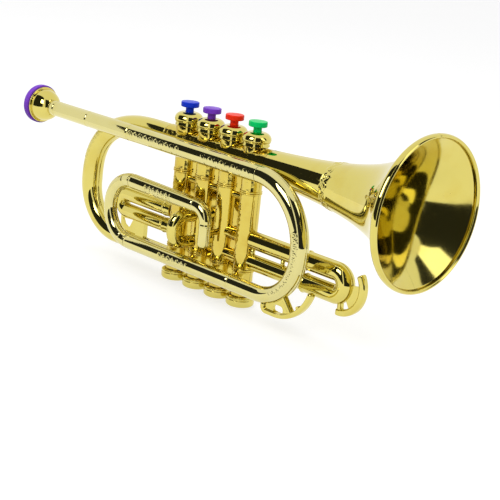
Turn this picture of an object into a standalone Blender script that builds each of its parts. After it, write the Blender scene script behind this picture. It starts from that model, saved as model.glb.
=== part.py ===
"""Toy trumpet in gold metallised plastic, with four coloured keys.

The tubes and the bell are hollow shells moulded in two halves. They meet on upright seam planes, one
through the bell and the valves and one through the leadpipe's loop. Inside each valve casing a sprung key
carries a rubber seal that shuts the hole over the casing's reed.

Frame: +X from the mouthpiece to the bell, +Z up along the valves, and -Y towards the leadpipe. The origin
is the middle of the outline in X and Y, on the plane under the bottom caps.
"""

import math

import bmesh
import bpy
from mathutils import Vector

mm = 0.001

# Fits and walls
seat_gap = 0.3 * mm
seam_gap = 0.3 * mm
overrun = 4.0 * mm
weld_distance = 0.0003 * mm
tube_wall = 1.5 * mm
least_bore_share = 0.3

# Layout along X, measured from the first valve's axis
valve_count = 4
valve_pitch = 22.67 * mm
mouth_to_valve = 149.8 * mm
valve_to_bell = 219.5 * mm
loop_to_bell_gap = 2.35 * mm

# Heights above the plane under the bottom caps
bell_axis_height = 102.4 * mm
leadpipe_drop = 2.1 * mm
small_tube_height = 65.1 * mm
lower_tube_height = 21.3 * mm
rear_lower_height = 14.5 * mm
third_slide_height = 40.6 * mm
first_slide_height = 42.2 * mm

# Bell: its radius grows as a power of the distance to a point beyond the rim
bell_rim_radius = 50.2 * mm
bell_lip_width = 5.2 * mm
bell_lip_depth = 2.2 * mm
bell_lip_flat = 1.2 * mm
bell_lip_step = 1.5 * mm
bell_wall = 1.8 * mm
bell_core_radius = 4.32 * mm
bell_flare_power = 1.344
bell_flare_beyond = 35.0 * mm
bell_joint_run = 18.0 * mm
bell_rear_run = 16.7 * mm

# Leadpipe and the loop in its plane
leadpipe_radius = 5.95 * mm
shank_radius = 5.75 * mm
ring_depth = 0.25 * mm
ring_width = 0.8 * mm
shank_length = 38.8 * mm
leadpipe_ring = -43.0 * mm
front_bow_reach = 135.4 * mm
front_bow_radius = 6.4 * mm
front_bow_straight = 3.0 * mm
front_bow_top_share = 0.5526
lower_tube_radius = 5.5 * mm
lower_tube_front_end = 77.1 * mm
small_bow_reach = -54.7 * mm
small_bow_radius = 4.7 * mm
small_tube_radius = 5.1 * mm
small_tube_rear_radius = 5.4 * mm
small_tube_rise = 1.1 * mm
small_tube_ring_setback = 5.4 * mm
elbow_shift = 1.3 * mm
elbow_turn = 10.0 * mm
elbow_radius = 4.3 * mm
elbow_drop = 27.6 * mm

# Rear bow and the tube under it
rear_bow_reach = -101.85 * mm
rear_bow_radius = 7.9 * mm
rear_bow_top_radius = 7.35 * mm
rear_bow_straight = 12.4 * mm
rear_bow_top_share = 0.603
rear_bow_squareness = 2.57
rear_lower_radius = 6.2 * mm
rear_lower_start = -35.0 * mm

# Valve slides
third_upper_radius = 6.2 * mm
third_lower_radius = 5.7 * mm
third_sleeve_radius = 6.35 * mm
third_sleeve_length = 27.0 * mm
third_slide_setback = 66.5 * mm
third_slide_slot = 2.7 * mm
third_post_radius = 1.5 * mm
third_post_sink = 1.3 * mm
third_post_places = (77.2 * mm, 106.0 * mm)
first_slide_radius = 5.4 * mm
first_slide_slot = 1.8 * mm
first_turn_x = -57.5 * mm
second_slide_radius = 4.4 * mm
second_slide_headroom = 3.0 * mm
second_slide_footroom = 2.4 * mm
second_slide_reach = 22.0 * mm
second_slide_shift = 5.3 * mm
second_slide_turn = 8.0 * mm
collar_rise = 0.6 * mm
collar_width = 1.6 * mm

# Valve casings
casing_radius = 7.31 * mm
casing_wall = 1.31 * mm
casing_foot = 3.7 * mm
casing_collar_step = 1.2 * mm
casing_collar_height = 6.1 * mm
casing_rise = 10.2 * mm
ferrule_drop = 22.8 * mm
low_ferrule_foot = 24.5 * mm
ferrule_height = 2.2 * mm
ferrule_rise = 0.5 * mm
floor_height = 51.0 * mm
floor_thickness = 2.0 * mm
rod_play = 0.6 * mm
knuckle_radius = 2.6 * mm
knuckle_drop = 26.8 * mm
port_radius = 4.9 * mm
web_thickness = 2.0 * mm
web_foot_gap = 1.2 * mm
pad_radius = 2.2 * mm
elbow_pad_rise = 9.5 * mm

# Domed top caps
dome_spacing = 2.4 * mm
dome_height = 9.3 * mm
dome_wide_height = 4.3 * mm
dome_flat_radius = 4.4 * mm
dome_wall = 2.0 * mm
stem_clearance = 0.3 * mm

# Bottom caps
cap_spacing = 2.7 * mm
cap_height = 7.4 * mm
cap_bevel = 1.2 * mm
cap_vent = 2.5 * mm

# Keys, with the stem, piston and rod under each disc
key_disc_radius = 6.42 * mm
key_disc_height = 3.8 * mm
key_edge = 0.7 * mm
key_stem_radius = 2.9 * mm
key_travel = 3.0 * mm
key_stop_gap = 0.6 * mm
piston_play = 0.4 * mm
piston_height = 12.0 * mm
rod_radius = 1.4 * mm
rod_head_radius = 2.6 * mm
rod_head_height = 1.5 * mm
seal_radius = 4.2 * mm
seal_height = 2.0 * mm
reed_height = 1.2 * mm
reed_slot_width = 2.4 * mm
reed_slot_length = 6.4 * mm
tongue_width = 1.6 * mm
spring_radius = 4.2 * mm
spring_height = 21.4 * mm
spring_wire = 0.45 * mm
spring_turns = 4

# Mouthpiece
mouth_rim_radius = 14.45 * mm
mouth_rim_thickness = 5.8 * mm
mouth_hole_radius = 9.0 * mm
mouth_round = 1.4 * mm
cup_flange_radius = 13.4 * mm
cup_flange_thickness = 1.5 * mm
cup_ball_radius = 12.0 * mm
cup_length = 14.2 * mm
cup_throat_radius = 2.4 * mm

# Finger hooks and the brace between the lower tubes
hook_width = 5.2 * mm
hook_thickness = 3.7 * mm
hook_chamfer = 0.9 * mm
hook_web_width = 4.2 * mm
lower_hook_setback = 23.4 * mm
lower_hook_drop = 9.0 * mm
lower_hook_flat = 8.5 * mm
lower_hook_turn = 30.7 * mm
lower_hook_angle = 74.5
lower_hook_strut_share = 0.39
lower_hook_strut_reach_share = 0.35
lower_hook_hole_run = 11.3 * mm
lower_hook_hole_rise = 4.2 * mm
lower_hook_hole_radius = 2.1 * mm
end_hook_clearance = 2.9 * mm
end_hook_angle = 129.0
end_hook_foot_angle = -94.0
end_hook_centre_shift = 4.7 * mm
end_hook_foot_strut_angle = -86.0
end_hook_web_angle = -72.0
end_hook_web_sweep = 84.0
end_hook_web_reach_share = 0.4
brace_x = -40.5 * mm
brace_length = 9.0 * mm
brace_width = 4.0 * mm

# Facets round each kind of piece, and steps along the curved ones
tube_steps = 6
bell_steps = 12
bell_rings = 9
turn_steps = 6
rear_bow_steps = 8
casing_sides = 14
dome_sides = 14
key_sides = 10
mouth_sides = 18
coil_points = 8
wire_sides = 4

# Places along X that follow from the sizes above, still measured from the first valve's axis
last_valve = (valve_count - 1) * valve_pitch
bell_start = last_valve + bell_joint_run
bell_rear_end = -bell_rear_run
bell_flare_end = valve_to_bell - bell_lip_width
bell_flare_reach = valve_to_bell + bell_flare_beyond
third_turn_x = valve_to_bell - third_slide_setback
third_sleeve_start = third_turn_x - third_sleeve_length
elbow_x = 2 * valve_pitch + elbow_shift
small_tube_ring = elbow_x - elbow_turn - small_tube_ring_setback
lower_hook_start = front_bow_reach - lower_hook_setback

# Heights and turns that follow
leadpipe_height = bell_axis_height - leadpipe_drop
third_upper_height = third_slide_height + third_sleeve_radius + third_slide_slot / 2
third_lower_height = third_slide_height - third_sleeve_radius - third_slide_slot / 2
first_upper_height = first_slide_height + first_slide_radius + first_slide_slot / 2
first_lower_height = first_slide_height - first_slide_radius - first_slide_slot / 2
second_upper_height = small_tube_height - small_tube_radius - second_slide_radius - second_slide_headroom
second_lower_height = lower_tube_height + lower_tube_radius + second_slide_radius + second_slide_footroom
front_bow_turns = leadpipe_height - lower_tube_height - front_bow_straight
front_bow_top_turn = front_bow_turns * front_bow_top_share
front_bow_low_turn = front_bow_turns - front_bow_top_turn
rear_bow_top_drop = (bell_axis_height - rear_lower_height) * rear_bow_top_share
rear_bow_low_turn = bell_axis_height - rear_lower_height - rear_bow_top_drop
rear_bow_top_length = bell_rear_end - rear_bow_straight - rear_bow_reach
casing_top = bell_axis_height + casing_rise
casing_collar_foot = casing_top - casing_collar_height
ferrule_foot = bell_axis_height - ferrule_drop
knuckle_height = bell_axis_height - knuckle_drop
elbow_pad_height = small_tube_height - elbow_drop + elbow_pad_rise
floor_top = floor_height + floor_thickness
web_foot = cap_height + web_foot_gap
piston_foot = floor_top + seat_gap + spring_height + seat_gap
piston_top = piston_foot + piston_height
key_under = casing_top + seat_gap + dome_height + key_travel + key_stop_gap
key_top_height = key_under + key_disc_height

# Radii that follow
casing_bore = casing_radius - casing_wall
casing_collar_radius = casing_radius + casing_collar_step
dome_foot_radius = casing_collar_radius
dome_radius = (valve_pitch - dome_spacing) / 2
cap_radius = (valve_pitch - cap_spacing) / 2
floor_hole = rod_radius + rod_play
piston_radius = casing_bore - piston_play
reed_radius = casing_bore - seat_gap
end_hook_radius = third_slide_slot / 2 + 2 * third_sleeve_radius + hook_thickness / 2 + end_hook_clearance

# The bell's growth from the first valve to the start of the lip fixes the flare's scale
bell_growth = (bell_flare_reach / (bell_flare_reach - bell_flare_end)) ** bell_flare_power
bell_flare_radius = (bell_rim_radius - bell_lip_step - bell_core_radius) / bell_growth


def bell_radius(distance):
    """Outer radius of the bell's tube at a distance from the first valve."""
    growth = bell_flare_reach / (bell_flare_reach - distance)
    return bell_core_radius + bell_flare_radius * growth ** bell_flare_power


first_valve_x = (mouth_to_valve - valve_to_bell) / 2
leadpipe_y = -(bell_radius(front_bow_reach - front_bow_top_turn) + leadpipe_radius + loop_to_bell_gap)
valve_xs = [first_valve_x + number * valve_pitch for number in range(valve_count)]
near, far = -1, 1
sides = {"near": near, "far": far}

gold = (0.78, 0.62, 0.20, 1.0)
blue = (0.01, 0.05, 0.52, 1.0)
purple = (0.20, 0.05, 0.55, 1.0)
red = (0.85, 0.02, 0.01, 1.0)
green = (0.01, 0.47, 0.13, 1.0)
key_colours = [blue, purple, red, green]
rubber_black = (0.02, 0.02, 0.02, 1.0)
spring_steel = (0.60, 0.60, 0.62, 1.0)
reed_brass = (0.72, 0.52, 0.20, 1.0)


def clear_scene():
    for obj in list(bpy.data.objects):
        bpy.data.objects.remove(obj, do_unlink=True)


def along(distance):
    """World X of a place measured from the first valve's axis."""
    return first_valve_x + distance


def make_material(name, colour, roughness, metallic):
    material = bpy.data.materials.new(name)
    material.use_nodes = True
    shader = material.node_tree.nodes["Principled BSDF"]
    shader.inputs["Base Color"].default_value = colour
    shader.inputs["Roughness"].default_value = roughness
    shader.inputs["Metallic"].default_value = metallic
    material.diffuse_color = colour
    return material


def add_object(name, mesh, material=None):
    """Links a finished mesh; without a material it is a cutter or a piece for a union, and stays hidden."""
    obj = bpy.data.objects.new(name, mesh)
    bpy.context.scene.collection.objects.link(obj)
    if material is None:
        obj.hide_render = True
        obj.display_type = "WIRE"
    else:
        mesh.materials.append(material)
    return obj


def mesh_from_faces(name, points, faces):
    """A closed mesh with its faces turned outwards and its round faces smooth."""
    mesh = bpy.data.meshes.new(name)
    mesh.from_pydata([tuple(point) for point in points], [], faces)
    shape = bmesh.new()
    shape.from_mesh(mesh)
    bmesh.ops.recalc_face_normals(shape, faces=shape.faces)
    shape.to_mesh(mesh)
    shape.free()
    mesh.shade_smooth()
    mesh.set_sharp_from_angle(angle=math.radians(35))
    return mesh


def loft(rings):
    """Joins closed rings of points, and leaves both ends open."""
    count = len(rings[0])
    points = [point for ring in rings for point in ring]
    faces = []
    for step in range(len(rings) - 1):
        for corner in range(count):
            beside = (corner + 1) % count
            low, high = step * count, (step + 1) * count
            faces.append((low + corner, low + beside, high + beside, high + corner))
    return points, faces, count


def solid_loft(name, rings, material=None):
    """A solid through closed rings, with both ends filled."""
    points, faces, count = loft(rings)
    faces.append(tuple(range(count)))
    faces.append(tuple(range(len(points) - count, len(points))))
    return add_object(name, mesh_from_faces(name, points, faces), material)


def lathe(name, profile, base, axis, side_count, material=None):
    """Spins a profile of (radius, distance along the axis) points round the axis through base."""
    axis = Vector(axis)
    out = Vector((1, 0, 0)) if abs(axis.z) > 0.5 else Vector((0, 0, 1))
    shape = bmesh.new()
    corners = [shape.verts.new(Vector(base) + out * radius + axis * distance) for radius, distance in profile]
    edges = [shape.edges.new(pair) for pair in zip(corners, corners[1:])]
    if profile[0][0] > 0:
        edges.append(shape.edges.new((corners[-1], corners[0])))
    bmesh.ops.spin(
        shape,
        geom=corners + edges,
        cent=Vector(base),
        axis=axis,
        angle=2 * math.pi,
        steps=side_count,
        use_merge=True,
    )
    bmesh.ops.remove_doubles(shape, verts=shape.verts, dist=weld_distance)
    bmesh.ops.recalc_face_normals(shape, faces=shape.faces)
    mesh = bpy.data.meshes.new(name)
    shape.to_mesh(mesh)
    shape.free()
    mesh.shade_smooth()
    mesh.set_sharp_from_angle(angle=math.radians(35))
    return add_object(name, mesh, material)


def rod_between(name, start, end, radius, side_count=casing_sides):
    """A plain round rod, used for unions and cutters."""
    start, end = Vector(start), Vector(end)
    return lathe(name, [(0, 0), (radius, 0), (radius, (end - start).length), (0, (end - start).length)],
                 start, (end - start).normalized(), side_count)


def box_between(name, low, high):
    centre = (Vector(low) + Vector(high)) / 2
    shape = bmesh.new()
    bmesh.ops.create_cube(shape, size=1.0)
    bmesh.ops.scale(shape, vec=Vector(high) - Vector(low), verts=shape.verts)
    bmesh.ops.translate(shape, vec=centre, verts=shape.verts)
    mesh = bpy.data.meshes.new(name)
    shape.to_mesh(mesh)
    shape.free()
    return add_object(name, mesh)


def cut(obj, operation, tools):
    """Adds one exact Boolean of the object with all the tools together."""
    group = bpy.data.collections.new(obj.name + "_" + operation.lower())
    bpy.context.scene.collection.children.link(group)
    for tool in tools:
        bpy.context.scene.collection.objects.unlink(tool)
        group.objects.link(tool)
    modifier = obj.modifiers.new(operation.title(), "BOOLEAN")
    modifier.operation = operation
    modifier.operand_type = "COLLECTION"
    modifier.collection = group
    modifier.solver = "EXACT"


# A station is a place along a tube: its centre, the upward direction across it, and its radii.
def station(x, z, radius, y=0.0, turn=0.0, wall=tube_wall):
    """turn is the angle by which the tube has bent away from +X, about the Y axis."""
    across = Vector((math.sin(turn), 0, math.cos(turn)))
    return Vector((x, y, z)), across, radius, max(radius - wall, radius * least_bore_share)


def half_ring(place, side, step_count):
    """The section of one moulded half: its outer arc, then its inner arc back."""
    centre, across, outer, inner = place
    seam = seam_gap / 2
    ring = []
    for radius, angles in ((outer, range(step_count + 1)), (inner, range(step_count, -1, -1))):
        for number in angles:
            angle = math.pi * number / step_count
            sideways = side * (seam + (radius - seam) * math.sin(angle))
            ring.append(centre + across * radius * math.cos(angle) + Vector((0, sideways, 0)))
    return ring


def close_shell(name, rings, step_count, material):
    """Joins the half rings and closes the ends between the two walls."""
    points, faces, count = loft(rings)
    for first in (0, len(points) - count):
        for step in range(step_count):
            outer, inner = first + step, first + count - 1 - step
            faces.append((outer, outer + 1, inner - 1, inner))
    return add_object(name, mesh_from_faces(name, points, faces), material)


def half_shell(name, stations, side, material, step_count=tube_steps):
    """One half of a hollow tube, along its stations."""
    rings = [half_ring(place, side, step_count) for place in stations]
    return close_shell(name, rings, step_count, material)


def full_tube(name, stations, extra=0.0, side_count=2 * tube_steps):
    """A solid round bar along the same stations, for cutting what meets the tube."""
    rings = []
    for centre, across, radius, _ in stations:
        turns = [2 * math.pi * number / side_count for number in range(side_count)]
        rings.append([
            centre + (across * math.cos(turn) + Vector((0, math.sin(turn), 0))) * (radius + extra)
            for turn in turns
        ])
    return solid_loft(name, rings)


def blend(start, end, share):
    return start + (end - start) * share


def turn_stations(centre_x, centre_z, turn_radius, start, end, radii, y, step_count=turn_steps):
    """Stations round a bend. Angles are measured from +Z towards +X, and the tube's radius blends."""
    places = []
    for number in range(step_count + 1):
        share = number / step_count
        angle = blend(start, end, share)
        x = centre_x + turn_radius * math.sin(angle)
        z = centre_z + turn_radius * math.cos(angle)
        radius = blend(radii[0], radii[1], share)
        across = Vector((math.sin(angle), 0, math.cos(angle)))
        places.append((Vector((x, y, z)), across, radius, radius - tube_wall))
    return places


def ring_mark(x, z, radius, y):
    """A shallow groove round a tube."""
    half, slope = ring_width / 2, ring_depth
    return [
        station(x - half - slope, z, radius, y),
        station(x - half, z, radius - ring_depth, y),
        station(x + half, z, radius - ring_depth, y),
        station(x + half + slope, z, radius, y),
    ]


def collar(x, z, before, after, y=0.0):
    """A raised ring where a slide's tube enters a wider sleeve."""
    top = max(before, after) + collar_rise
    return [
        station(x, z, before, y),
        station(x + collar_rise, z, top, y),
        station(x + collar_width, z, top, y),
        station(x + collar_width + collar_rise, z, after, y),
    ]


def bell_slope(distance):
    rise = bell_flare_power * (bell_radius(distance) - bell_core_radius)
    return rise / (bell_flare_reach - distance)


def bell_inner_radius(distance):
    """The inner wall keeps its thickness square to the flare."""
    return bell_radius(distance) - bell_wall * math.hypot(1, bell_slope(distance))


def bell_station(distance):
    place = Vector((along(distance), 0, bell_axis_height))
    return place, Vector((0, 0, 1)), bell_radius(distance), bell_inner_radius(distance)


def bell_stations():
    """Even turns of the flare's angle, so that the rings close up towards the rim."""
    steepness = [math.atan(bell_slope(distance)) for distance in (bell_start, bell_flare_end)]
    scale = bell_flare_power * bell_flare_radius * bell_flare_reach ** bell_flare_power
    places = []
    for number in range(bell_rings + 1):
        slope = math.tan(blend(steepness[0], steepness[1], number / bell_rings))
        places.append(bell_station(bell_flare_reach - (scale / slope) ** (1 / (bell_flare_power + 1))))
    return places


def bell_lip_stations():
    """The rim's rolled lip: a band as wide as bell_lip_width with a narrow flat front."""
    front, back = valve_to_bell, valve_to_bell - bell_lip_width
    inner_rim = bell_rim_radius - bell_lip_depth
    corner = (bell_lip_depth - bell_lip_flat) / 2
    inner_back = min(bell_inner_radius(back) + bell_lip_depth, inner_rim - corner)
    shape = [
        (back + corner, bell_rim_radius - corner, inner_back),
        (back + bell_lip_depth, bell_rim_radius,
         blend(inner_back, inner_rim, bell_lip_depth / bell_lip_width)),
        (front - corner, bell_rim_radius, inner_rim),
        (front, bell_rim_radius - corner, inner_rim + corner),
    ]
    up = Vector((0, 0, 1))
    return [(Vector((along(x), 0, bell_axis_height)), up, outer, inner) for x, outer, inner in shape]


def build_bell(material):
    places = bell_stations() + bell_lip_stations()
    for word, side in sides.items():
        half_shell("bell_" + word + "_half", places, side, material, bell_steps)


def rear_bow_stations():
    """From the back end of the bell's tube, down round the left and forward under the bow."""
    low_turn, left = rear_bow_low_turn, along(rear_bow_reach)
    low_z = rear_lower_height + low_turn
    start, narrow, wide = bell_radius(bell_rear_end), rear_bow_top_radius, rear_bow_radius
    step_x, back = along(bell_rear_end) - seat_gap, math.pi
    begin = [
        station(step_x, bell_axis_height, start),
        station(step_x - collar_rise, bell_axis_height, narrow),
    ]
    # The top turn follows a squarish oval, longer than it is deep.
    upper = []
    length, drop, power = rear_bow_top_length, rear_bow_top_drop, rear_bow_squareness
    for number in range(rear_bow_steps + 1):
        share = number / rear_bow_steps
        angle = math.pi / 2 * share
        out, rise = math.sin(angle) ** (2 / power), math.cos(angle) ** (2 / power)
        slope = math.atan2(out ** (power - 1) / length, rise ** (power - 1) / drop)
        place = (left + length * (1 - out), bell_axis_height - drop * (1 - rise))
        upper.append(station(place[0], place[1], blend(narrow, wide, share ** 2), turn=-slope))
    lower = turn_stations(left + low_turn, low_z, low_turn, -back / 2, -back, (wide, rear_lower_radius), 0.0)
    end_place = station(along(rear_lower_start), rear_lower_height, rear_lower_radius, turn=back)
    return begin + upper + lower + [end_place]


def rear_lower_stations():
    start = along(rear_lower_start) + seat_gap
    return [station(x, rear_lower_height, rear_lower_radius) for x in (start, valve_xs[0])]


def build_rear_loop(material):
    places, tail = rear_bow_stations(), rear_lower_stations()
    for word, side in sides.items():
        half_shell("rear_bow_" + word + "_half", places, side, material)
        piece = half_shell("rear_lower_tube_" + word + "_half", tail, side, material)
        cut(piece, "DIFFERENCE", [casing_cutter(piece.name + "_cutter", 0)])


def casing_cutter(name, number):
    """The casing's outside with the seating gap, to shape the end of a tube that meets it."""
    x = valve_xs[number]
    low, high = casing_foot - overrun, casing_collar_foot
    return rod_between(name, (x, 0, low), (x, 0, high), casing_radius + seat_gap)


def leadpipe_stations():
    y, z = leadpipe_y, leadpipe_height
    start = along(-mouth_to_valve) + mouth_rim_thickness + seat_gap + cup_length + seat_gap
    step = start + shank_length
    end = along(front_bow_reach) - front_bow_top_turn - seat_gap
    middle = (shank_radius + leadpipe_radius) / 2
    return (
        [station(start, z, shank_radius, y)]
        + ring_mark(step, z, middle, y)
        + ring_mark(along(leadpipe_ring), z, leadpipe_radius, y)
        + [station(end, z, leadpipe_radius, y)]
    )


def front_bow_stations():
    """The loop's right-hand end: a wide turn at the top and a tighter one at the bottom."""
    y, right = leadpipe_y, along(front_bow_reach)
    top_x, low_x = right - front_bow_top_turn, right - front_bow_low_turn
    top_z = leadpipe_height - front_bow_top_turn
    low_z = lower_tube_height + front_bow_low_turn
    quarter = math.pi / 2
    wide, side_radius = front_bow_radius, (front_bow_radius + leadpipe_radius) / 2
    first = turn_stations(top_x, top_z, front_bow_top_turn, 0, quarter / 2, (leadpipe_radius, wide), y, 3)
    second = turn_stations(top_x, top_z, front_bow_top_turn, quarter / 2, quarter, (wide, side_radius), y, 3)
    third = turn_stations(
        low_x, low_z, front_bow_low_turn, quarter, 2 * quarter, (side_radius, lower_tube_radius), y
    )
    end = station(along(lower_tube_front_end), lower_tube_height, lower_tube_radius, y, 2 * quarter)
    return first + second[1:] + third + [end]


def lower_tube_stations():
    y, z = leadpipe_y, lower_tube_height
    end = along(lower_tube_front_end) - seat_gap
    start = small_bow_centre_x() + seat_gap
    first_ring = start + ring_width
    return (
        [station(start, z, lower_tube_radius - ring_depth, y)]
        + [station(first_ring, z, lower_tube_radius - ring_depth, y)]
        + [station(first_ring + ring_depth, z, lower_tube_radius, y)]
        + [station(end - ring_width, z, lower_tube_radius, y)]
        + [station(end, z, lower_tube_radius - ring_depth, y)]
    )


def small_bow_turn():
    return (small_tube_height + small_tube_rise - lower_tube_height) / 2


def small_bow_centre_x():
    return along(small_bow_reach) + small_bow_turn()


def small_bow_stations():
    turn, half = small_bow_turn(), math.pi / 2
    x, z = small_bow_centre_x(), lower_tube_height + small_bow_turn()
    ends = (lower_tube_radius - ring_depth, small_tube_rear_radius - ring_depth)
    low = turn_stations(x, z, turn, -2 * half, -half, (ends[0], small_bow_radius), leadpipe_y, 5)
    high = turn_stations(x, z, turn, -half, 0, (small_bow_radius, ends[1]), leadpipe_y, 5)
    return low + high[1:]


def small_tube_stations():
    """Along the top of the small loop, a little downhill, then down in front of the third casing."""
    y, z = leadpipe_y, small_tube_height
    start = small_bow_centre_x() + seat_gap
    turn_x, turn_z = along(elbow_x) - elbow_turn, z - elbow_turn
    down = math.pi / 2
    bend = turn_stations(turn_x, turn_z, elbow_turn, 0, down, (small_tube_radius, elbow_radius), y, 5)
    foot = z - elbow_drop
    band = turn_z - ring_width
    x = along(elbow_x)
    return (
        [station(start, z + small_tube_rise, small_tube_rear_radius, y)]
        + ring_mark(along(small_tube_ring), z, small_tube_radius, y)
        + bend
        + [station(x, band, elbow_radius + ring_depth, y, down)]
        + [station(x, band - ring_width, elbow_radius + ring_depth, y, down)]
        + [station(x, band - 2 * ring_width, elbow_radius, y, down)]
        + [station(x, foot + ring_width, elbow_radius, y, down)]
        + [station(x, foot, elbow_radius - ring_width, y, down)]
    )


def build_front_loop(material):
    routes = {
        "leadpipe": leadpipe_stations(),
        "front_bow": front_bow_stations(),
        "lower_tube": lower_tube_stations(),
        "small_bow": small_bow_stations(),
        "small_tube": small_tube_stations(),
    }
    for route, places in routes.items():
        for word, side in sides.items():
            # The halves' seam lies in the loop's own plane, so the side is taken about that plane.
            half_shell(route + "_" + word + "_half", places, side, material)


def third_slide_stations():
    """Out from the last casing, round a tight turn under the bell and back below."""
    x, turn_x = valve_xs[-1], along(third_turn_x)
    high, low = third_upper_height, third_lower_height
    sleeve, step = along(third_sleeve_start), third_sleeve_radius
    turn = (high - low) / 2
    back = math.pi
    upper = [station(x, high, third_upper_radius)] + collar(sleeve, high, third_upper_radius, step)
    bend = turn_stations(turn_x, low + turn, turn, 0, back, (step, step), 0.0)
    lower = [
        (centre, -across, radius, inner)
        for centre, across, radius, inner in reversed(collar(sleeve, low, third_lower_radius, step))
    ]
    return upper + bend + lower + [station(x, low, third_lower_radius, turn=back)]


def third_slide_posts():
    """Two upright pins that tie the slide's tubes together, moulded on its near half."""
    y = -third_post_radius - seat_gap
    low = third_lower_height + third_lower_radius - third_post_sink
    high = third_upper_height - third_upper_radius + third_post_sink
    posts = []
    for number, place in enumerate(third_post_places):
        x = along(place)
        posts.append(rod_between("third_post_" + str(number), (x, y, low), (x, y, high), third_post_radius))
    return posts


def first_slide_stations():
    """Back from the first casing and round a turn inside the rear bow."""
    x, turn_x = valve_xs[0], along(first_turn_x)
    high, low = first_upper_height, first_lower_height
    turn, back, radius = (high - low) / 2, math.pi, first_slide_radius
    bend = turn_stations(turn_x, low + turn, turn, 0, -back, (radius, radius), 0.0)
    return [station(x, high, radius)] + bend + [station(x, low, radius, turn=-back)]


def second_slide_halves(material):
    """A short loop out towards -Y. Its plane is upright and leans back towards the mouthpiece."""
    base = Vector((valve_xs[1], 0, 0))
    out = Vector((-second_slide_shift, -second_slide_reach, 0))
    length = out.length
    out.normalize()
    sideways = Vector((0, 0, 1)).cross(out)
    high, low, turn = second_upper_height, second_lower_height, second_slide_turn
    route = [(0.0, high, 0.0)]
    for number in range(turn_steps + 1):
        angle = math.pi / 2 * number / turn_steps
        route.append((length - turn + turn * math.sin(angle), high - turn + turn * math.cos(angle), angle))
    for number in range(turn_steps + 1):
        angle = math.pi / 2 * (1 + number / turn_steps)
        route.append((length - turn + turn * math.sin(angle), low + turn + turn * math.cos(angle), angle))
    route.append((0.0, low, math.pi))
    radius, seam = second_slide_radius, seam_gap / 2
    for word, side in sides.items():
        rings = []
        for distance, height, angle in route:
            centre = base + out * distance + Vector((0, 0, height))
            across = out * math.sin(angle) + Vector((0, 0, 1)) * math.cos(angle)
            ring = []
            for wall, order in ((radius, 1), (radius - tube_wall, -1)):
                for number in list(range(tube_steps + 1))[::order]:
                    turned = math.pi * number / tube_steps
                    offset = side * (seam + (wall - seam) * math.sin(turned))
                    ring.append(centre + across * wall * math.cos(turned) + sideways * offset)
            rings.append(ring)
        piece = close_shell("second_slide_" + word + "_half", rings, tube_steps, material)
        cut(piece, "DIFFERENCE", [casing_cutter(piece.name + "_cutter", 1)])


def build_slides(material):
    for word, side in sides.items():
        third = half_shell("third_slide_" + word + "_half", third_slide_stations(), side, material)
        if side == near:
            cut(third, "UNION", third_slide_posts())
        cut(third, "DIFFERENCE", [casing_cutter(third.name + "_cutter", valve_count - 1)])
        first = half_shell("first_slide_" + word + "_half", first_slide_stations(), side, material)
        cut(first, "DIFFERENCE", [casing_cutter(first.name + "_cutter", 0)])
    second_slide_halves(material)


def ferrule_band(foot):
    """A raised ring with sloped edges round a casing."""
    wide, top = casing_radius + ferrule_rise, foot + ferrule_height
    return [
        (casing_radius, foot - ferrule_rise),
        (wide, foot),
        (wide, top),
        (casing_radius, top + ferrule_rise),
    ]


def casing_profile():
    """Outside of one casing: two ferrules, and a wider collar over the bell's tube."""
    return (
        [(0, casing_foot), (casing_radius, casing_foot)]
        + ferrule_band(low_ferrule_foot)
        + ferrule_band(ferrule_foot)
        + [
            (casing_radius, casing_collar_foot),
            (casing_collar_radius, casing_collar_foot),
            (casing_collar_radius, casing_top),
            (0, casing_top),
        ]
    )


def block_outsides(word):
    """Everything that the valve block's outside is joined from, besides the bell's tube."""
    axis = (0, 0, 1)
    pieces = []
    for number, x in enumerate(valve_xs):
        label = word + "_" + str(number + 1)
        pieces.append(lathe("casing_" + label, casing_profile(), (x, 0, 0), axis, casing_sides))
    # One bar shows as a knuckle between each casing and the next.
    pieces.append(rod_between("knuckles_" + word, (valve_xs[0], 0, knuckle_height),
                              (valve_xs[-1], 0, knuckle_height), knuckle_radius, key_sides))
    # A thin web in the seam plane joins the casings from the bell's tube down to the bottom caps.
    pieces.append(box_between(
        "web_" + word,
        (valve_xs[0] + casing_bore / 2, -web_thickness / 2, web_foot),
        (valve_xs[-1] - casing_bore / 2, web_thickness / 2, bell_axis_height),
    ))
    # The third slide's tubes run on from the last casing to the one before it.
    for place, height in (("upper", third_upper_height), ("lower", third_lower_height)):
        pieces.append(rod_between("port_" + place + "_" + word, (valve_xs[-2], 0, height),
                                  (valve_xs[-1], 0, height), port_radius, key_sides))
    leadpipe_back = leadpipe_y + leadpipe_radius + seat_gap
    lower_back = leadpipe_y + lower_tube_radius + seat_gap
    elbow_back = leadpipe_y + elbow_radius + seat_gap
    first, second, third, last = valve_xs
    pads = {
        "leadpipe_rear_pad": (first, leadpipe_height, leadpipe_back),
        "leadpipe_front_pad": (last, leadpipe_height, leadpipe_back),
        "lower_rear_pad": (second, lower_tube_height, lower_back),
        "lower_front_pad": (last, lower_tube_height, lower_back),
        "elbow_pad": (third, elbow_pad_height, elbow_back),
    }
    for label, (x, height, back) in pads.items() if word == "near" else ():
        pieces.append(rod_between(label, (x, 0, height), (x, back, height), pad_radius, key_sides))
    return pieces


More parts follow.
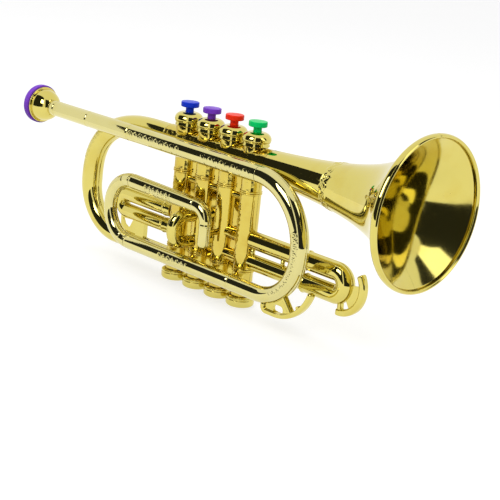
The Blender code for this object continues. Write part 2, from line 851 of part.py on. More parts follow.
def block_bores(word):
    """The bell's bore, and in each casing two chambers with the seal's hole between them."""
    start, end = bell_rear_end, bell_start - seat_gap
    bore = [
        (Vector((along(x), 0, bell_axis_height)), Vector((0, 0, 1)), bell_inner_radius(x), 0.0)
        for x in (start - overrun, 0.0, (start + end) / 2, end + overrun)
    ]
    cutters = [full_tube("bell_bore_" + word, bore, side_count=casing_sides)]
    chambers = [
        (0, -overrun),
        (casing_bore, -overrun),
        (casing_bore, floor_height),
        (floor_hole, floor_height),
        (floor_hole, floor_top),
        (casing_bore, floor_top),
        (casing_bore, casing_top + overrun),
        (0, casing_top + overrun),
    ]
    for number, x in enumerate(valve_xs):
        label = word + "_" + str(number + 1)
        cutters.append(lathe("chambers_" + label, chambers, (x, 0, 0), (0, 0, 1), casing_sides))
    return cutters


def build_valve_block(material):
    """The bell's tube where the four casings stand through it, moulded with them in two halves."""
    start, end = bell_rear_end, bell_start - seat_gap
    distances = [blend(start, end, number / 4) for number in range(5)]
    reach = valve_to_bell + mouth_to_valve
    for word, side in sides.items():
        rings = []
        for distance in distances:
            turns = [2 * math.pi * number / casing_sides for number in range(casing_sides)]
            centre = Vector((along(distance), 0, bell_axis_height))
            radius = bell_radius(distance)
            rings.append([centre + Vector((0, math.sin(t), math.cos(t))) * radius for t in turns])
        block = solid_loft("valve_block_" + word + "_half", rings, material)
        cut(block, "UNION", block_outsides(word))
        seam = side * seam_gap / 2
        low_y, high_y = sorted((seam, -side * reach))
        other_side = box_between("seam_" + word, (-reach, low_y, -reach), (reach, high_y, reach))
        cut(block, "DIFFERENCE", block_bores(word) + [other_side])


def dome_profile():
    """A low dome on a narrower foot, open below, with the stem's hole on top."""
    foot = casing_top + seat_gap
    wide, top = foot + dome_wide_height, foot + dome_height
    hole = key_stem_radius + stem_clearance
    outside = [(hole, top), (dome_flat_radius, top)]
    crown = top - wide
    for number in range(1, 4):
        angle = math.pi / 2 * number / 4
        outside.append((
            dome_flat_radius + (dome_radius - dome_flat_radius) * math.sin(angle),
            wide + crown * math.cos(angle),
        ))
    outside += [
        (dome_radius, wide),
        (dome_radius, foot + dome_wide_height / 2),
        (dome_foot_radius, foot + dome_wide_height / 6),
        (dome_foot_radius, foot),
    ]
    inside = [
        (dome_foot_radius - dome_wall, foot),
        (dome_foot_radius - dome_wall, wide),
        (hole, top - dome_wall),
    ]
    return outside + inside


def cap_profile():
    """A shallow cup round the casing's foot, with a vent in its floor."""
    inner, floor = casing_radius + seat_gap, casing_foot - seat_gap
    return [
        (cap_vent, 0.0),
        (cap_radius - cap_bevel, 0.0),
        (cap_radius, cap_bevel),
        (cap_radius, cap_height - cap_bevel),
        (cap_radius - cap_bevel, cap_height),
        (inner, cap_height),
        (inner, floor),
        (cap_vent, floor),
    ]


def key_profile():
    """The disc and stem that show, and the piston, rod and head inside the casing."""
    under = key_under
    head_top = floor_height - seat_gap - seal_height - seat_gap
    head_foot = head_top - rod_head_height
    edge = key_edge
    return [
        (0, key_top_height),
        (key_disc_radius - edge, key_top_height),
        (key_disc_radius, key_top_height - edge),
        (key_disc_radius, under + edge),
        (key_disc_radius - edge, under),
        (key_stem_radius, under),
        (key_stem_radius, piston_top),
        (piston_radius, piston_top),
        (piston_radius, piston_foot),
        (rod_radius, piston_foot),
        (rod_radius, head_top),
        (rod_head_radius, head_top),
        (rod_head_radius, head_foot),
        (0, head_foot),
    ]


def seal_profile():
    top = floor_height - seat_gap
    hole = rod_radius + stem_clearance
    return [(hole, top), (seal_radius, top), (seal_radius, top - seal_height), (hole, top - seal_height)]


def build_spring(name, x, material):
    """A coil between the casing's floor and the piston, drawn as one unbroken wire."""
    low = floor_top + seat_gap + spring_wire
    high = low + spring_height - 2 * spring_wire
    steps = spring_turns * coil_points
    rings = []
    for number in range(steps + 1):
        share = number / steps
        angle = 2 * math.pi * spring_turns * share
        out = Vector((math.cos(angle), math.sin(angle), 0))
        centre = Vector((x, 0, blend(low, high, share))) + out * spring_radius
        ring = []
        for side in range(wire_sides):
            turned = 2 * math.pi * side / wire_sides
            around = out * math.cos(turned) + Vector((0, 0, 1)) * math.sin(turned)
            ring.append(centre + around * spring_wire)
        rings.append(ring)
    spring = solid_loft(name, rings, material)
    clearance = (high - low) / spring_turns - 2 * spring_wire
    print(name, "least gap between turns", round(clearance / mm, 2), "mm")
    return spring


def build_reed(name, x, material):
    """A round plate with a slot, and in the slot the reed's tongue, which one end holds."""
    low = casing_foot
    plate = lathe(name, [(0, 0), (reed_radius, 0), (reed_radius, reed_height), (0, reed_height)],
                  (x, 0, low), (0, 0, 1), key_sides, material)
    half_slot, half_length, half_tongue = reed_slot_width / 2, reed_slot_length / 2, tongue_width / 2
    below, above = low - overrun, low + reed_height + overrun
    slots = []
    for number, side in enumerate(sides.values()):
        edges = sorted((side * half_tongue, side * half_slot))
        slots.append(box_between(name + "_slot_" + str(number), (x - half_length, edges[0], below),
                                 (x + half_length, edges[1], above)))
    end = half_slot - half_tongue
    slots.append(box_between(name + "_slot_end", (x + half_length - end, -half_slot, below),
                             (x + half_length + end / 2, half_slot, above)))
    cut(plate, "DIFFERENCE", slots)


def build_valves(gold_material):
    axis = (0, 0, 1)
    rubber = make_material("seal_rubber", rubber_black, 0.8, 0.0)
    steel = make_material("spring_steel", spring_steel, 0.3, 1.0)
    brass = make_material("reed_brass", reed_brass, 0.35, 1.0)
    for number, x in enumerate(valve_xs):
        label = "_" + str(number + 1)
        plastic = make_material("key_plastic" + label, key_colours[number], 0.25, 0.0)
        base = (x, 0, 0)
        lathe("top_cap" + label, dome_profile(), base, axis, dome_sides, gold_material)
        lathe("bottom_cap" + label, cap_profile(), base, axis, dome_sides, gold_material)
        key = lathe("key" + label, key_profile(), (0, 0, 0), axis, key_sides, plastic)
        guide = bpy.data.objects.new("key_guide" + label, None)
        bpy.context.scene.collection.objects.link(guide)
        guide.location = base
        key.parent = guide
        seal = lathe("seal" + label, seal_profile(), (0, 0, 0), axis, key_sides, rubber)
        seal.parent = guide
        build_spring("spring" + label, x, steel)
        build_reed("reed" + label, x, brass)


def build_mouthpiece(gold_material):
    """A soft-edged purple lip ring against a round gold cup, whose throat leads to the leadpipe."""
    axis = (1, 0, 0)
    front = along(-mouth_to_valve)
    base = (front, leadpipe_y, leadpipe_height)
    plastic = make_material("mouthpiece_plastic", purple, 0.3, 0.0)
    hole, radius, thick, soft = mouth_hole_radius, mouth_rim_radius, mouth_rim_thickness, mouth_round
    slant = soft * (1 - math.sqrt(0.5))
    rim = [
        (hole, soft),
        (hole + slant, slant),
        (hole + soft, 0.0),
        (radius - soft, 0.0),
        (radius - slant, slant),
        (radius, soft),
        (radius, thick - soft / 2),
        (radius - soft / 2, thick),
        (hole, thick),
    ]
    lathe("mouthpiece_rim", rim, base, axis, mouth_sides, plastic)
    start = thick + seat_gap
    flange, ball, end = cup_flange_thickness, cup_ball_radius, start + cup_length
    outside = [(cup_flange_radius, start), (cup_flange_radius, start + flange), (ball, start + flange)]
    bowl = cup_length - flange - 2 * ring_width
    final = math.acos(shank_radius / ball)
    for number in range(1, 6):
        angle = final * number / 5
        outside.append((ball * math.cos(angle), start + flange + bowl * math.sin(angle) / math.sin(final)))
    inside = [
        (cup_throat_radius, end),
        (cup_throat_radius, start + cup_length * 2 / 3),
        (blend(cup_throat_radius, hole, 0.7), start + cup_length / 3),
        (hole, start),
    ]
    lathe("mouthpiece_cup", outside + [(shank_radius, end)] + inside, base, axis, mouth_sides, gold_material)


def hook_section(centre, across):
    """A flat bar's section with eight corners: hook_thickness across the bend and hook_width along Y."""
    half_thick, half_wide, chamfer = hook_thickness / 2, hook_width / 2, hook_chamfer
    corners = [
        (half_thick, half_wide - chamfer),
        (half_thick - chamfer, half_wide),
        (chamfer - half_thick, half_wide),
        (-half_thick, half_wide - chamfer),
        (-half_thick, chamfer - half_wide),
        (chamfer - half_thick, -half_wide),
        (half_thick - chamfer, -half_wide),
        (half_thick, chamfer - half_wide),
    ]
    return [centre + across * thick + Vector((0, wide, 0)) for thick, wide in corners]


def arc_sections(centre_x, centre_z, radius, start, end, y, step_count=8):
    rings = []
    for number in range(step_count + 1):
        angle = math.radians(blend(start, end, number / step_count))
        across = Vector((math.cos(angle), 0, math.sin(angle)))
        rings.append(hook_section(Vector((centre_x, y, centre_z)) + across * radius, across))
    return rings


def strut(name, start, end, y):
    """A short flat bar between two places in the hook's plane."""
    start, end = Vector((start[0], y, start[1])), Vector((end[0], y, end[1]))
    across = (end - start).cross(Vector((0, 1, 0))).normalized()
    return solid_loft(name, [hook_section(start, across), hook_section(end, across)])


def hook_plate(name, outline, y):
    """A flat plate between a hook and the tube it holds on to, from (x, z) corners."""
    sides_of_plate = (y - hook_web_width / 2, y + hook_web_width / 2)
    return solid_loft(name, [[Vector((x, edge, z)) for x, z in outline] for edge in sides_of_plate])


def build_lower_hook(material):
    """A finger hook under the front bow: along the bottom, then up and round to a free tip."""
    y, turn = leadpipe_y, lower_hook_turn
    level = lower_tube_height - lower_hook_drop
    start, flat_end = along(lower_hook_start), along(lower_hook_start) + lower_hook_flat
    down = Vector((0, 0, -1))
    foot = hook_section(Vector((start - hook_thickness, y, lower_tube_height - lower_tube_radius)),
                        Vector((-1, 0, 0)))
    corner = hook_section(Vector((start - hook_thickness / 2, y, level + hook_thickness / 2)),
                          Vector((-1, 0, -1)).normalized())
    rings = [foot, corner, hook_section(Vector((start, y, level)), down)]
    rings += arc_sections(flat_end, level + turn, turn, -90, -90 + lower_hook_angle, y)
    hook = solid_loft("lower_hook", rings, material)
    angle = math.radians(-90 + lower_hook_angle * lower_hook_strut_share)
    outer = (flat_end + turn * math.cos(angle), level + turn + turn * math.sin(angle))
    bow_x = along(front_bow_reach) - front_bow_low_turn
    bow_z = lower_tube_height + front_bow_low_turn
    reach = lower_hook_strut_reach_share
    inner = (blend(outer[0], bow_x, reach), blend(outer[1], bow_z, reach))
    outline = [(start, level), (flat_end, level)]
    for number in range(1, 4):
        part_angle = blend(math.radians(-90), angle, number / 4)
        outline.append((flat_end + turn * math.cos(part_angle), level + turn + turn * math.sin(part_angle)))
    outline += [outer, inner, (start, lower_tube_height)]
    plate = hook_plate("lower_hook_plate", outline, y)
    cut(hook, "UNION", [strut("lower_hook_strut", outer, inner, y), plate])
    hole_x, hole_z = start + lower_hook_hole_run, level + lower_hook_hole_rise
    hole_ends = [(hole_x, y + side * hook_width, hole_z) for side in (-1, 1)]
    hole = rod_between("lower_hook_hole", hole_ends[0], hole_ends[1], lower_hook_hole_radius)
    cut(hook, "DIFFERENCE", [full_tube("lower_hook_cutter", front_bow_stations(), seat_gap), hole])


def build_end_hook(material):
    """A finger hook round the end of the third slide, from a foot below it to a tip beside it."""
    centre_x = along(third_turn_x) + end_hook_centre_shift
    centre_z = (third_upper_height + third_lower_height) / 2
    radius = end_hook_radius
    foot, tip = end_hook_foot_angle, end_hook_foot_angle + end_hook_angle
    rings = arc_sections(centre_x, centre_z, radius, foot, tip, 0.0, 10)
    hook = solid_loft("end_hook", rings, material)
    angle = math.radians(end_hook_foot_strut_angle)
    outer = (centre_x + radius * math.cos(angle), centre_z + radius * math.sin(angle))
    inner = (centre_x + radius / 2 * math.cos(angle), centre_z + radius / 2 * math.sin(angle))
    reach, half_width = radius * end_hook_web_reach_share, hook_web_width / 2
    web = []
    for number in range(turn_steps + 1):
        turned = math.radians(end_hook_web_angle + end_hook_web_sweep * number / turn_steps)
        corners = ((reach, -half_width), (radius, -half_width), (radius, half_width), (reach, half_width))
        across = Vector((math.cos(turned), 0, math.sin(turned)))
        web.append([Vector((centre_x, y, centre_z)) + across * out for out, y in corners])
    cut(hook, "UNION", [strut("end_hook_strut", outer, inner, 0.0), solid_loft("end_hook_web", web)])
    cut(hook, "DIFFERENCE", [full_tube("end_hook_cutter", third_slide_stations(), seat_gap)])


def build_brace(material):
    """A small web that ties the first slide's lower tube to the rear lower tube."""
    x, half_length, half_width = along(brace_x), brace_length / 2, brace_width / 2
    low, high = rear_lower_height, first_lower_height
    shape = bmesh.new()
    bmesh.ops.create_cube(shape, size=1.0)
    bmesh.ops.scale(shape, vec=(2 * half_length, 2 * half_width, high - low), verts=shape.verts)
    bmesh.ops.translate(shape, vec=(x, 0, (low + high) / 2), verts=shape.verts)
    mesh = bpy.data.meshes.new("slide_brace")
    shape.to_mesh(mesh)
    shape.free()
    brace = add_object("slide_brace", mesh, material)
    cutters = [
        full_tube("brace_cutter_upper", first_slide_stations(), seat_gap),
        full_tube("brace_cutter_lower", rear_bow_stations(), seat_gap),
        full_tube("brace_cutter_tail", rear_lower_stations(), seat_gap),
    ]
    cut(brace, "DIFFERENCE", cutters)


def main():
    clear_scene()
    gold_material = make_material("gold_plastic", gold, 0.12, 1.0)
    build_bell(gold_material)
    build_valve_block(gold_material)
    build_rear_loop(gold_material)
    build_front_loop(gold_material)
    build_slides(gold_material)
    build_valves(gold_material)
    build_mouthpiece(gold_material)
    build_lower_hook(gold_material)
    build_end_hook(gold_material)
    build_brace(gold_material)


main()
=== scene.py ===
import math

import bmesh
import bpy
import numpy as np
from mathutils import Matrix, Vector


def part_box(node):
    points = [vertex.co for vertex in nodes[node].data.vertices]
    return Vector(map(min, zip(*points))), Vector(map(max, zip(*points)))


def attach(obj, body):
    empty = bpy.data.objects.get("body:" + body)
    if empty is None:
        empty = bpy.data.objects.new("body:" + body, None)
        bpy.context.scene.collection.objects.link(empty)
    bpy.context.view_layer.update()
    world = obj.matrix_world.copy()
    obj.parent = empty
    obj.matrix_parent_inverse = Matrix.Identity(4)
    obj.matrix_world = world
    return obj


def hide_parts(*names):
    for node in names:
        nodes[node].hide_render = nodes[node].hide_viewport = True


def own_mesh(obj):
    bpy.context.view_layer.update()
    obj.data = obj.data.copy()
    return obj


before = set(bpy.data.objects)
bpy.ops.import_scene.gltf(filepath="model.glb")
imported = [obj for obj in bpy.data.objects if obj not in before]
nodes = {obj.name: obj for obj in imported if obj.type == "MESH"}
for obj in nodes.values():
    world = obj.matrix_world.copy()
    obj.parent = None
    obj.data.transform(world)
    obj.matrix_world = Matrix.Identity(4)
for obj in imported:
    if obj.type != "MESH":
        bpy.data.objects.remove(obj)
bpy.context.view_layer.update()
mm = 0.001
valveXs = [(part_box(f"key_{number}")[0].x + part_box(f"key_{number}")[1].x) / 2 for number in range(1, 5)]
firstValve, lastValve = valveXs[0], valveXs[3]
loopY = (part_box("leadpipe_near_half")[0].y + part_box("leadpipe_far_half")[1].y) / 2
halves = {"near": -1, "far": 1}
yAxis = np.array([0.0, 1.0, 0.0])


def fromValve(distance):
    return firstValve + distance * mm


# Faces given as arrays of corner numbers; a shape that comes out inside out is turned round.
def meshFromFaces(name, points, faceSets):
    points = np.asarray(points, dtype=float).reshape(-1, 3)
    volume = 0.0
    for faces in faceSets:
        for corner in range(1, faces.shape[1] - 1):
            a, b, c = points[faces[:, 0]], points[faces[:, corner]], points[faces[:, corner + 1]]
            volume += np.einsum("ij,ij->", a, np.cross(b, c))
    if volume < 0:
        faceSets = [faces[:, ::-1] for faces in faceSets]
    corners = np.concatenate([faces.ravel() for faces in faceSets]).astype(np.int32)
    sizes = np.concatenate([np.full(len(faces), faces.shape[1]) for faces in faceSets])
    mesh = bpy.data.meshes.new(name)
    mesh.vertices.add(len(points))
    mesh.vertices.foreach_set("co", points.astype(np.float32).ravel())
    mesh.loops.add(len(corners))
    mesh.loops.foreach_set("vertex_index", corners)
    mesh.polygons.add(len(sizes))
    mesh.polygons.foreach_set("loop_start", (np.cumsum(sizes) - sizes).astype(np.int32))
    mesh.update(calc_edges=True)
    return mesh


def addPiece(name, mesh, material, sharpAngle=38):
    mesh.shade_smooth()
    mesh.set_sharp_from_angle(angle=math.radians(sharpAngle))
    mesh.materials.clear()
    mesh.materials.append(material)
    piece = bpy.data.objects.new(name, mesh)
    bpy.context.scene.collection.objects.link(piece)
    return piece


def placePiece(piece, body, *replaced):
    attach(piece, body)
    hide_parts(*replaced)
    return piece


# Quads between the neighbours of a grid numbered row by row, whose rows are closed rings.
def gridFaces(rows, columns):
    left = np.arange(rows * columns).reshape(rows, columns)
    right = np.roll(left, -1, axis=1)
    return np.stack([left[:-1], right[:-1], right[1:], left[1:]], axis=-1).reshape(-1, 4)


# Rings of points joined one after another, with the first and the last ring closed.
def loftMesh(name, points):
    rows, columns = points.shape[:2]
    around = np.arange(columns)
    return meshFromFaces(name, points, [gridFaces(rows, columns), around[None, ::-1],
                                        (around + (rows - 1) * columns)[None]])


# Distances from the first valve and heights, in millimetres, as world X and Z.
def toWorld(line):
    line = np.array(line, dtype=float)
    return np.stack([fromValve(line[:, 0]), line[:, 1] * mm], -1)


# Each corner (r, h, size) becomes a curve: (1-u)^2 * before + 2u(1-u) * corner + u^2 * after.
def roundCorners(corners, steps=6):
    spots = np.array([corner[:2] for corner in corners], dtype=float)
    share = np.linspace(0, 1, steps)[:, None]
    out = []
    for number, (_, _, size) in enumerate(corners):
        here = spots[number]
        if size == 0 or number in (0, len(corners) - 1):
            out.append(here[None])
            continue
        before, after = spots[number - 1] - here, spots[number + 1] - here
        start = here + before / np.linalg.norm(before) * min(size, np.linalg.norm(before) * 0.5)
        end = here + after / np.linalg.norm(after) * min(size, np.linalg.norm(after) * 0.5)
        out.append((1 - share) ** 2 * start + 2 * share * (1 - share) * here + share ** 2 * end)
    return np.concatenate(out) * mm


# Point (i, j) = centre + axis * height_i + radius_i * (cos a_j, sin a_j) across the axis.
def lathePoints(profile, centre, axis, count):
    angles = np.linspace(0, 2 * np.pi, count, endpoint=False)
    radius, height = profile[:, 0, None, None], profile[:, 1, None, None]
    if axis == "z":
        around = np.stack([np.cos(angles), np.sin(angles), 0 * angles], -1)
        along = np.array([0.0, 0.0, 1.0])
    else:
        around = np.stack([0 * angles, np.cos(angles), np.sin(angles)], -1)
        along = np.array([1.0, 0.0, 0.0])
    return np.array(centre) + along * height + around[None] * radius


# A turned shape. A profile that starts and ends on the axis gets one point there; any other closes on itself.
def latheMesh(name, profile, centre, axis, count):
    solid = profile[0, 0] == 0 and profile[-1, 0] == 0
    inside = profile[1:-1] if solid else profile
    grid = lathePoints(inside, centre, axis, count)
    rows = len(inside)
    faceSets = [gridFaces(rows, count)]
    points = grid.reshape(-1, 3)
    ring, last = np.arange(count), (rows - 1) * count
    if solid:
        poles = lathePoints(profile[[0, -1]], centre, axis, 1).reshape(-1, 3)
        points = np.concatenate([points, poles])
        start, end = np.full(count, len(points) - 2), np.full(count, len(points) - 1)
        faceSets.append(np.stack([start, np.roll(ring, -1), ring], -1))
        faceSets.append(np.stack([end, last + ring, last + np.roll(ring, -1)], -1))
    else:
        faceSets.append(np.stack([last + ring, last + np.roll(ring, -1), np.roll(ring, -1), ring], -1))
    return meshFromFaces(name, points, faceSets)


# A turn: centre + radius * (sin a, cos a), a in degrees from straight up towards +X.
def turnLine(centreX, centreZ, radius, start, end, count=121):
    angle = np.radians(np.linspace(start, end, count))
    return np.stack([centreX + radius * np.sin(angle), centreZ + radius * np.cos(angle)], -1)


def joinLines(*lines):
    line = np.concatenate([np.atleast_2d(np.asarray(part, dtype=float)) for part in lines])
    keep = np.r_[True, np.hypot(*np.diff(line, axis=0).T) > 1e-7]
    return line[keep]


tubeWall = 1.5 * mm
edgeSoftness = 0.35 * mm
seam = {"half": 0.05 * mm, "depth": 0.3 * mm, "width": 0.32 * mm}


# Places along a line: even steps, closer ones in each fine stretch, and the outward normal there.
def followLine(line, outer, spacing=1.0 * mm, fine=(), y=0.0, outward=1, soft=(1.0, 1.0)):
    lengths = np.r_[0, np.cumsum(np.hypot(*np.diff(line, axis=0).T))]
    total = lengths[-1]
    even = np.linspace(0, total, max(int(total / spacing), 2) + 1)
    closer = [np.arange(max(low, 0), min(high, total), step) for low, high, step in fine]
    bevel = edgeSoftness * (1 - np.cos(np.linspace(0, np.pi / 2, 6)))
    place = np.unique(np.round(np.concatenate([even, bevel, total - bevel, *closer]), 7))
    centre = np.stack([np.interp(place, lengths, line[:, 0]), np.interp(place, lengths, line[:, 1])], -1)
    probe = 0.2 * mm
    ahead = np.stack([np.interp(place + probe, lengths, line[:, k]) for k in (0, 1)], -1)
    behind = np.stack([np.interp(place - probe, lengths, line[:, k]) for k in (0, 1)], -1)
    run = (ahead - behind) / np.linalg.norm(ahead - behind, axis=1, keepdims=True)
    normal = outward * np.stack([-run[:, 1], run[:, 0]], -1)
    radius = outer(place, total) if callable(outer) else np.full(len(place), outer)
    thick = np.minimum(tubeWall, radius * 0.6)
    cutBack = 0.0
    for share, ends in zip(soft, (place, total - place)):
        dip = np.sqrt(np.clip(edgeSoftness ** 2 - np.clip(edgeSoftness - ends, 0, None) ** 2, 0, None))
        cutBack = cutBack + share * (edgeSoftness - dip)
    flat = np.full(len(place), y)
    return {
        "centre": np.stack([centre[:, 0], flat, centre[:, 1]], -1),
        "across": np.stack([normal[:, 0], 0 * flat, normal[:, 1]], -1),
        "sideways": yAxis,
        "outer": radius - cutBack,
        "inner": radius - thick,
        "length": place,
    }


# A turned groove: depth * exp(-((s - spot) / width)^2).
def ringGroove(place, spot, depth, width):
    return depth * np.exp(-((place - spot) / width) ** 2)


# A groove just inside the end of a tube, where the next moulding meets it.
def endGroove(place):
    return ringGroove(place, 0.4 * mm, 0.35 * mm, 0.6 * mm)


# A raised ring with soft shoulders: rise * (tanh((s - low) / edge) - tanh((s - high) / edge)) / 2.
def ringBead(place, low, high, rise, edge=0.35 * mm):
    return rise * (np.tanh((place - low) / edge) - np.tanh((place - high) / edge)) / 2


# The same ring at the same distance from both ends of a tube.
def beadPair(place, total, low, high, rise):
    return ringBead(place, low, high, rise) + ringBead(total - place, low, high, rise)


# A number at each point of a mesh, for its material to read.
def pointValues(mesh, name, values):
    layer = mesh.attributes.new(name, "FLOAT", "POINT")
    layer.data.foreach_set("value", values.astype(np.float32).ravel())


# Half a tube: centre + across * R cos t + side * Y * (seam + R sin t), t from 0 to pi.
# It goes out on the radius R and comes back on the bore.
def halfTube(name, path, side, material, relief, count, frost):
    share = np.linspace(0, 1, count + 1)
    turn = np.pi * (0.4 * share + 0.6 * (0.5 - 0.5 * np.cos(np.pi * share)))
    outer, inner = path["outer"][:, None], path["inner"][:, None]
    nearSeam = np.minimum(turn, np.pi - turn)[None]
    dip = seam["depth"] * np.exp(-((outer * nearSeam / seam["width"]) ** 2))
    raised = np.zeros((len(outer), len(turn)))
    if relief is not None:
        raised = relief(path["length"][:, None], turn[None], outer)
    depth = raised.max() or 1.0
    radius = np.concatenate([outer - dip + raised, np.repeat(inner, len(turn), axis=1)], axis=1)
    angle = np.concatenate([turn, turn[::-1]])[None]
    sideways = side * (seam["half"] + radius * np.sin(angle))
    points = (
        path["centre"][:, None]
        + path["across"][:, None] * (radius * np.cos(angle))[..., None]
        + path["sideways"] * sideways[..., None]
    )
    rows, columns = points.shape[:2]
    first = np.arange(len(turn) - 1)
    end = np.stack([first, first + 1, columns - 2 - first, columns - 1 - first], -1)
    faceSets = [gridFaces(rows, columns), end[:, ::-1], end + (rows - 1) * columns]
    mesh = meshFromFaces(name, points, faceSets)
    matt = raised / depth
    if frost is not None:
        matt = np.maximum(matt, frost(path["length"][:, None], turn[None]))
    none = np.zeros_like(raised)
    pointValues(mesh, "scroll", np.concatenate([matt, none], axis=1))
    pointValues(mesh, "inside", np.concatenate([none, none + 1], axis=1))
    return addPiece(name, mesh, material)


# The two moulded halves of one tube, each in the place of its node.
def tubePair(label, node, path, material, relief=None, count=56, frost=None):
    for word, side in halves.items():
        piece = halfTube(f"{label}.{word}", path, side, material, relief, count, frost)
        placePiece(piece, "trumpet", f"{node}_{word}_half")


# Running scroll: a waving stem v = A sin(pi u / size), and a curl in each bay.
# The curl stands where rho / pitch - phi / 2pi is a whole number.
def scrollHeight(u, v, size, height, thin=1.0):
    wave = 0.42 * size * np.sin(np.pi * u / size)
    stem = np.exp(-(((v - wave) / (0.11 * size)) ** 2))
    bay = np.floor(u / size)
    flip = np.where(bay % 2 == 0, 1.0, -1.0)
    du, dv = u - (bay + 0.5) * size, (v - flip * 0.02 * size) * flip
    rho, phi = np.hypot(du, dv), np.arctan2(dv, du)
    pitch = 0.30 * size
    ridge = np.abs((rho / pitch - phi / (2 * np.pi)) % 1.0 - 0.5) * 2
    curl = np.clip(1.15 - 2.1 * thin * (1 - ridge), 0, 1) * np.clip((0.62 * size - rho) / (0.1 * size), 0, 1)
    edge = np.clip((0.78 * size - np.abs(v)) / (0.12 * size), 0, 1)
    return height * np.maximum(stem, curl) * edge


# Scrollwork between two lengths of a tube, round the line at the angle centre.
def bandRelief(band, centre=np.pi / 2, breaks=(), thin=1.0):
    low, high = band["low"], band["high"]

    def relief(length, turn, outer):
        u, v = length - low, (turn - centre) * outer
        fade = np.clip((length - low) / mm, 0, 1) * np.clip((high - length) / mm, 0, 1)
        for start, end in breaks:
            fade = fade * np.where((length > start) & (length < end), 0.0, 1.0)
        return scrollHeight(u, v, band["size"], band["height"], thin) * fade
    return relief


# A fine stretch of a tube's line, over the whole of a scrollwork band.
def fineOver(band, step):
    return band["low"], band["high"], step


# Frosting round the tube between two lengths: 1 inside the band, eased to 0 at its four edges.
def frostBand(band, start, end, ease=3 * mm, angleEase=0.15):
    low, high = band["low"], band["high"]

    def frost(length, turn):
        run = np.clip((length - low) / ease, 0, 1) * np.clip((high - length) / ease, 0, 1)
        return run * np.clip((turn - start) / angleEase, 0, 1) * np.clip((end - turn) / angleEase, 0, 1)
    return frost


# A shader node group with named inputs (name, kind, value) and outputs (name, kind).
def makeGroup(name, inputs, outputs):
    tree = bpy.data.node_groups.new(name, "ShaderNodeTree")
    for label, kind, value in inputs:
        socket = tree.interface.new_socket(label, in_out="INPUT", socket_type=kind)
        if value is not None:
            socket.default_value = value
    for label, kind in outputs:
        tree.interface.new_socket(label, in_out="OUTPUT", socket_type=kind)
    return tree, tree.nodes.new("NodeGroupInput"), tree.nodes.new("NodeGroupOutput")


# Puts values or other nodes' sockets into a node's inputs.
def fillInputs(tree, node, links):
    for key, value in links.items():
        if isinstance(value, bpy.types.NodeSocket):
            tree.links.new(value, node.inputs[key])
        else:
            node.inputs[key].default_value = value


def addNode(tree, kind, links=None, **settings):
    node = tree.nodes.new(kind)
    for key, value in settings.items():
        setattr(node, key, value)
    fillInputs(tree, node, links or {})
    return node


def mathNode(tree, operation, first, second, third=None):
    links = {0: first, 1: second}
    if third is not None:
        links[2] = third
    return addNode(tree, "ShaderNodeMath", links, operation=operation).outputs[0]


def noiseNode(tree, place, scale, detail):
    return addNode(tree, "ShaderNodeTexNoise", {"Vector": place, "Scale": scale, "Detail": detail}).outputs[0]


def rangeNode(tree, value, low, high):
    links = {"Value": value, "From Min": low, "From Max": high}
    return addNode(tree, "ShaderNodeMapRange", links, interpolation_type="SMOOTHSTEP").outputs[0]


# Sockets 0, 6 and 7 are the mix node's share and its two colours, and output 2 is its colour.
def mixColour(tree, share, first, second):
    return addNode(tree, "ShaderNodeMix", {0: share, 6: first, 7: second}, data_type="RGBA").outputs[2]


# Height of the moulding's slow waves and of the lacquer's fine peel.
def mouldRippleGroup():
    tree, given, result = makeGroup(
        "mouldRipple",
        [("Place", "NodeSocketVector", None), ("Wave Scale", "NodeSocketFloat", 45.0),
         ("Peel Scale", "NodeSocketFloat", 700.0), ("Peel Share", "NodeSocketFloat", 0.12)],
        [("Height", "NodeSocketFloat")],
    )
    wave = noiseNode(tree, given.outputs["Place"], given.outputs["Wave Scale"], 1.0)
    peel = noiseNode(tree, given.outputs["Place"], given.outputs["Peel Scale"], 2.0)
    share = mathNode(tree, "MULTIPLY", peel, given.outputs["Peel Share"])
    tree.links.new(mathNode(tree, "ADD", wave, share), result.inputs["Height"])
    return tree


# Masks of settled dust specks and of faint rubbed patches.
def dustGroup():
    tree, given, result = makeGroup(
        "fineDust",
        [("Place", "NodeSocketVector", None), ("Speck Scale", "NodeSocketFloat", 420.0),
         ("Speck Size", "NodeSocketFloat", 0.16), ("Patch Scale", "NodeSocketFloat", 60.0)],
        [("Specks", "NodeSocketFloat"), ("Patches", "NodeSocketFloat")],
    )
    cells = addNode(tree, "ShaderNodeTexVoronoi", {"Vector": given.outputs["Place"],
                                                   "Scale": given.outputs["Speck Scale"]})
    near = mathNode(tree, "LESS_THAN", cells.outputs["Distance"], given.outputs["Speck Size"])
    some = mathNode(tree, "GREATER_THAN", cells.outputs["Color"], 0.8)
    clouds = noiseNode(tree, given.outputs["Place"], given.outputs["Patch Scale"], 4.0)
    patches = rangeNode(tree, clouds, 0.45, 0.75)
    tree.links.new(mathNode(tree, "MULTIPLY", near, some), result.inputs["Specks"])
    tree.links.new(patches, result.inputs["Patches"])
    return tree


goldFinish = {
    "tint": (0.70, 0.60, 0.15, 1.0), "deepTint": (0.68, 0.56, 0.12, 1.0),
    "roughness": 0.035, "insideRoughness": 0.07, "dustRoughness": 0.16, "scrollRoughness": 0.16,
    "patchRoughness": 0.02, "waveDistance": 0.05 * mm, "coat": 0.25, "coatRoughness": 0.03,
}


def newMaterial(name):
    material = bpy.data.materials.new(name)
    material.use_nodes = True
    return material, material.node_tree


def makeShader(name):
    material, tree = newMaterial(name)
    place = tree.nodes.new("ShaderNodeTexCoord").outputs["Object"]
    return material, tree, tree.nodes["Principled BSDF"], place


def useGroup(tree, group, links):
    return addNode(tree, "ShaderNodeGroup", links, node_tree=group)


def bumpNormal(tree, height, distance):
    links = {"Height": height, "Distance": distance, "Strength": 1.0}
    return addNode(tree, "ShaderNodeBump", links).outputs["Normal"]


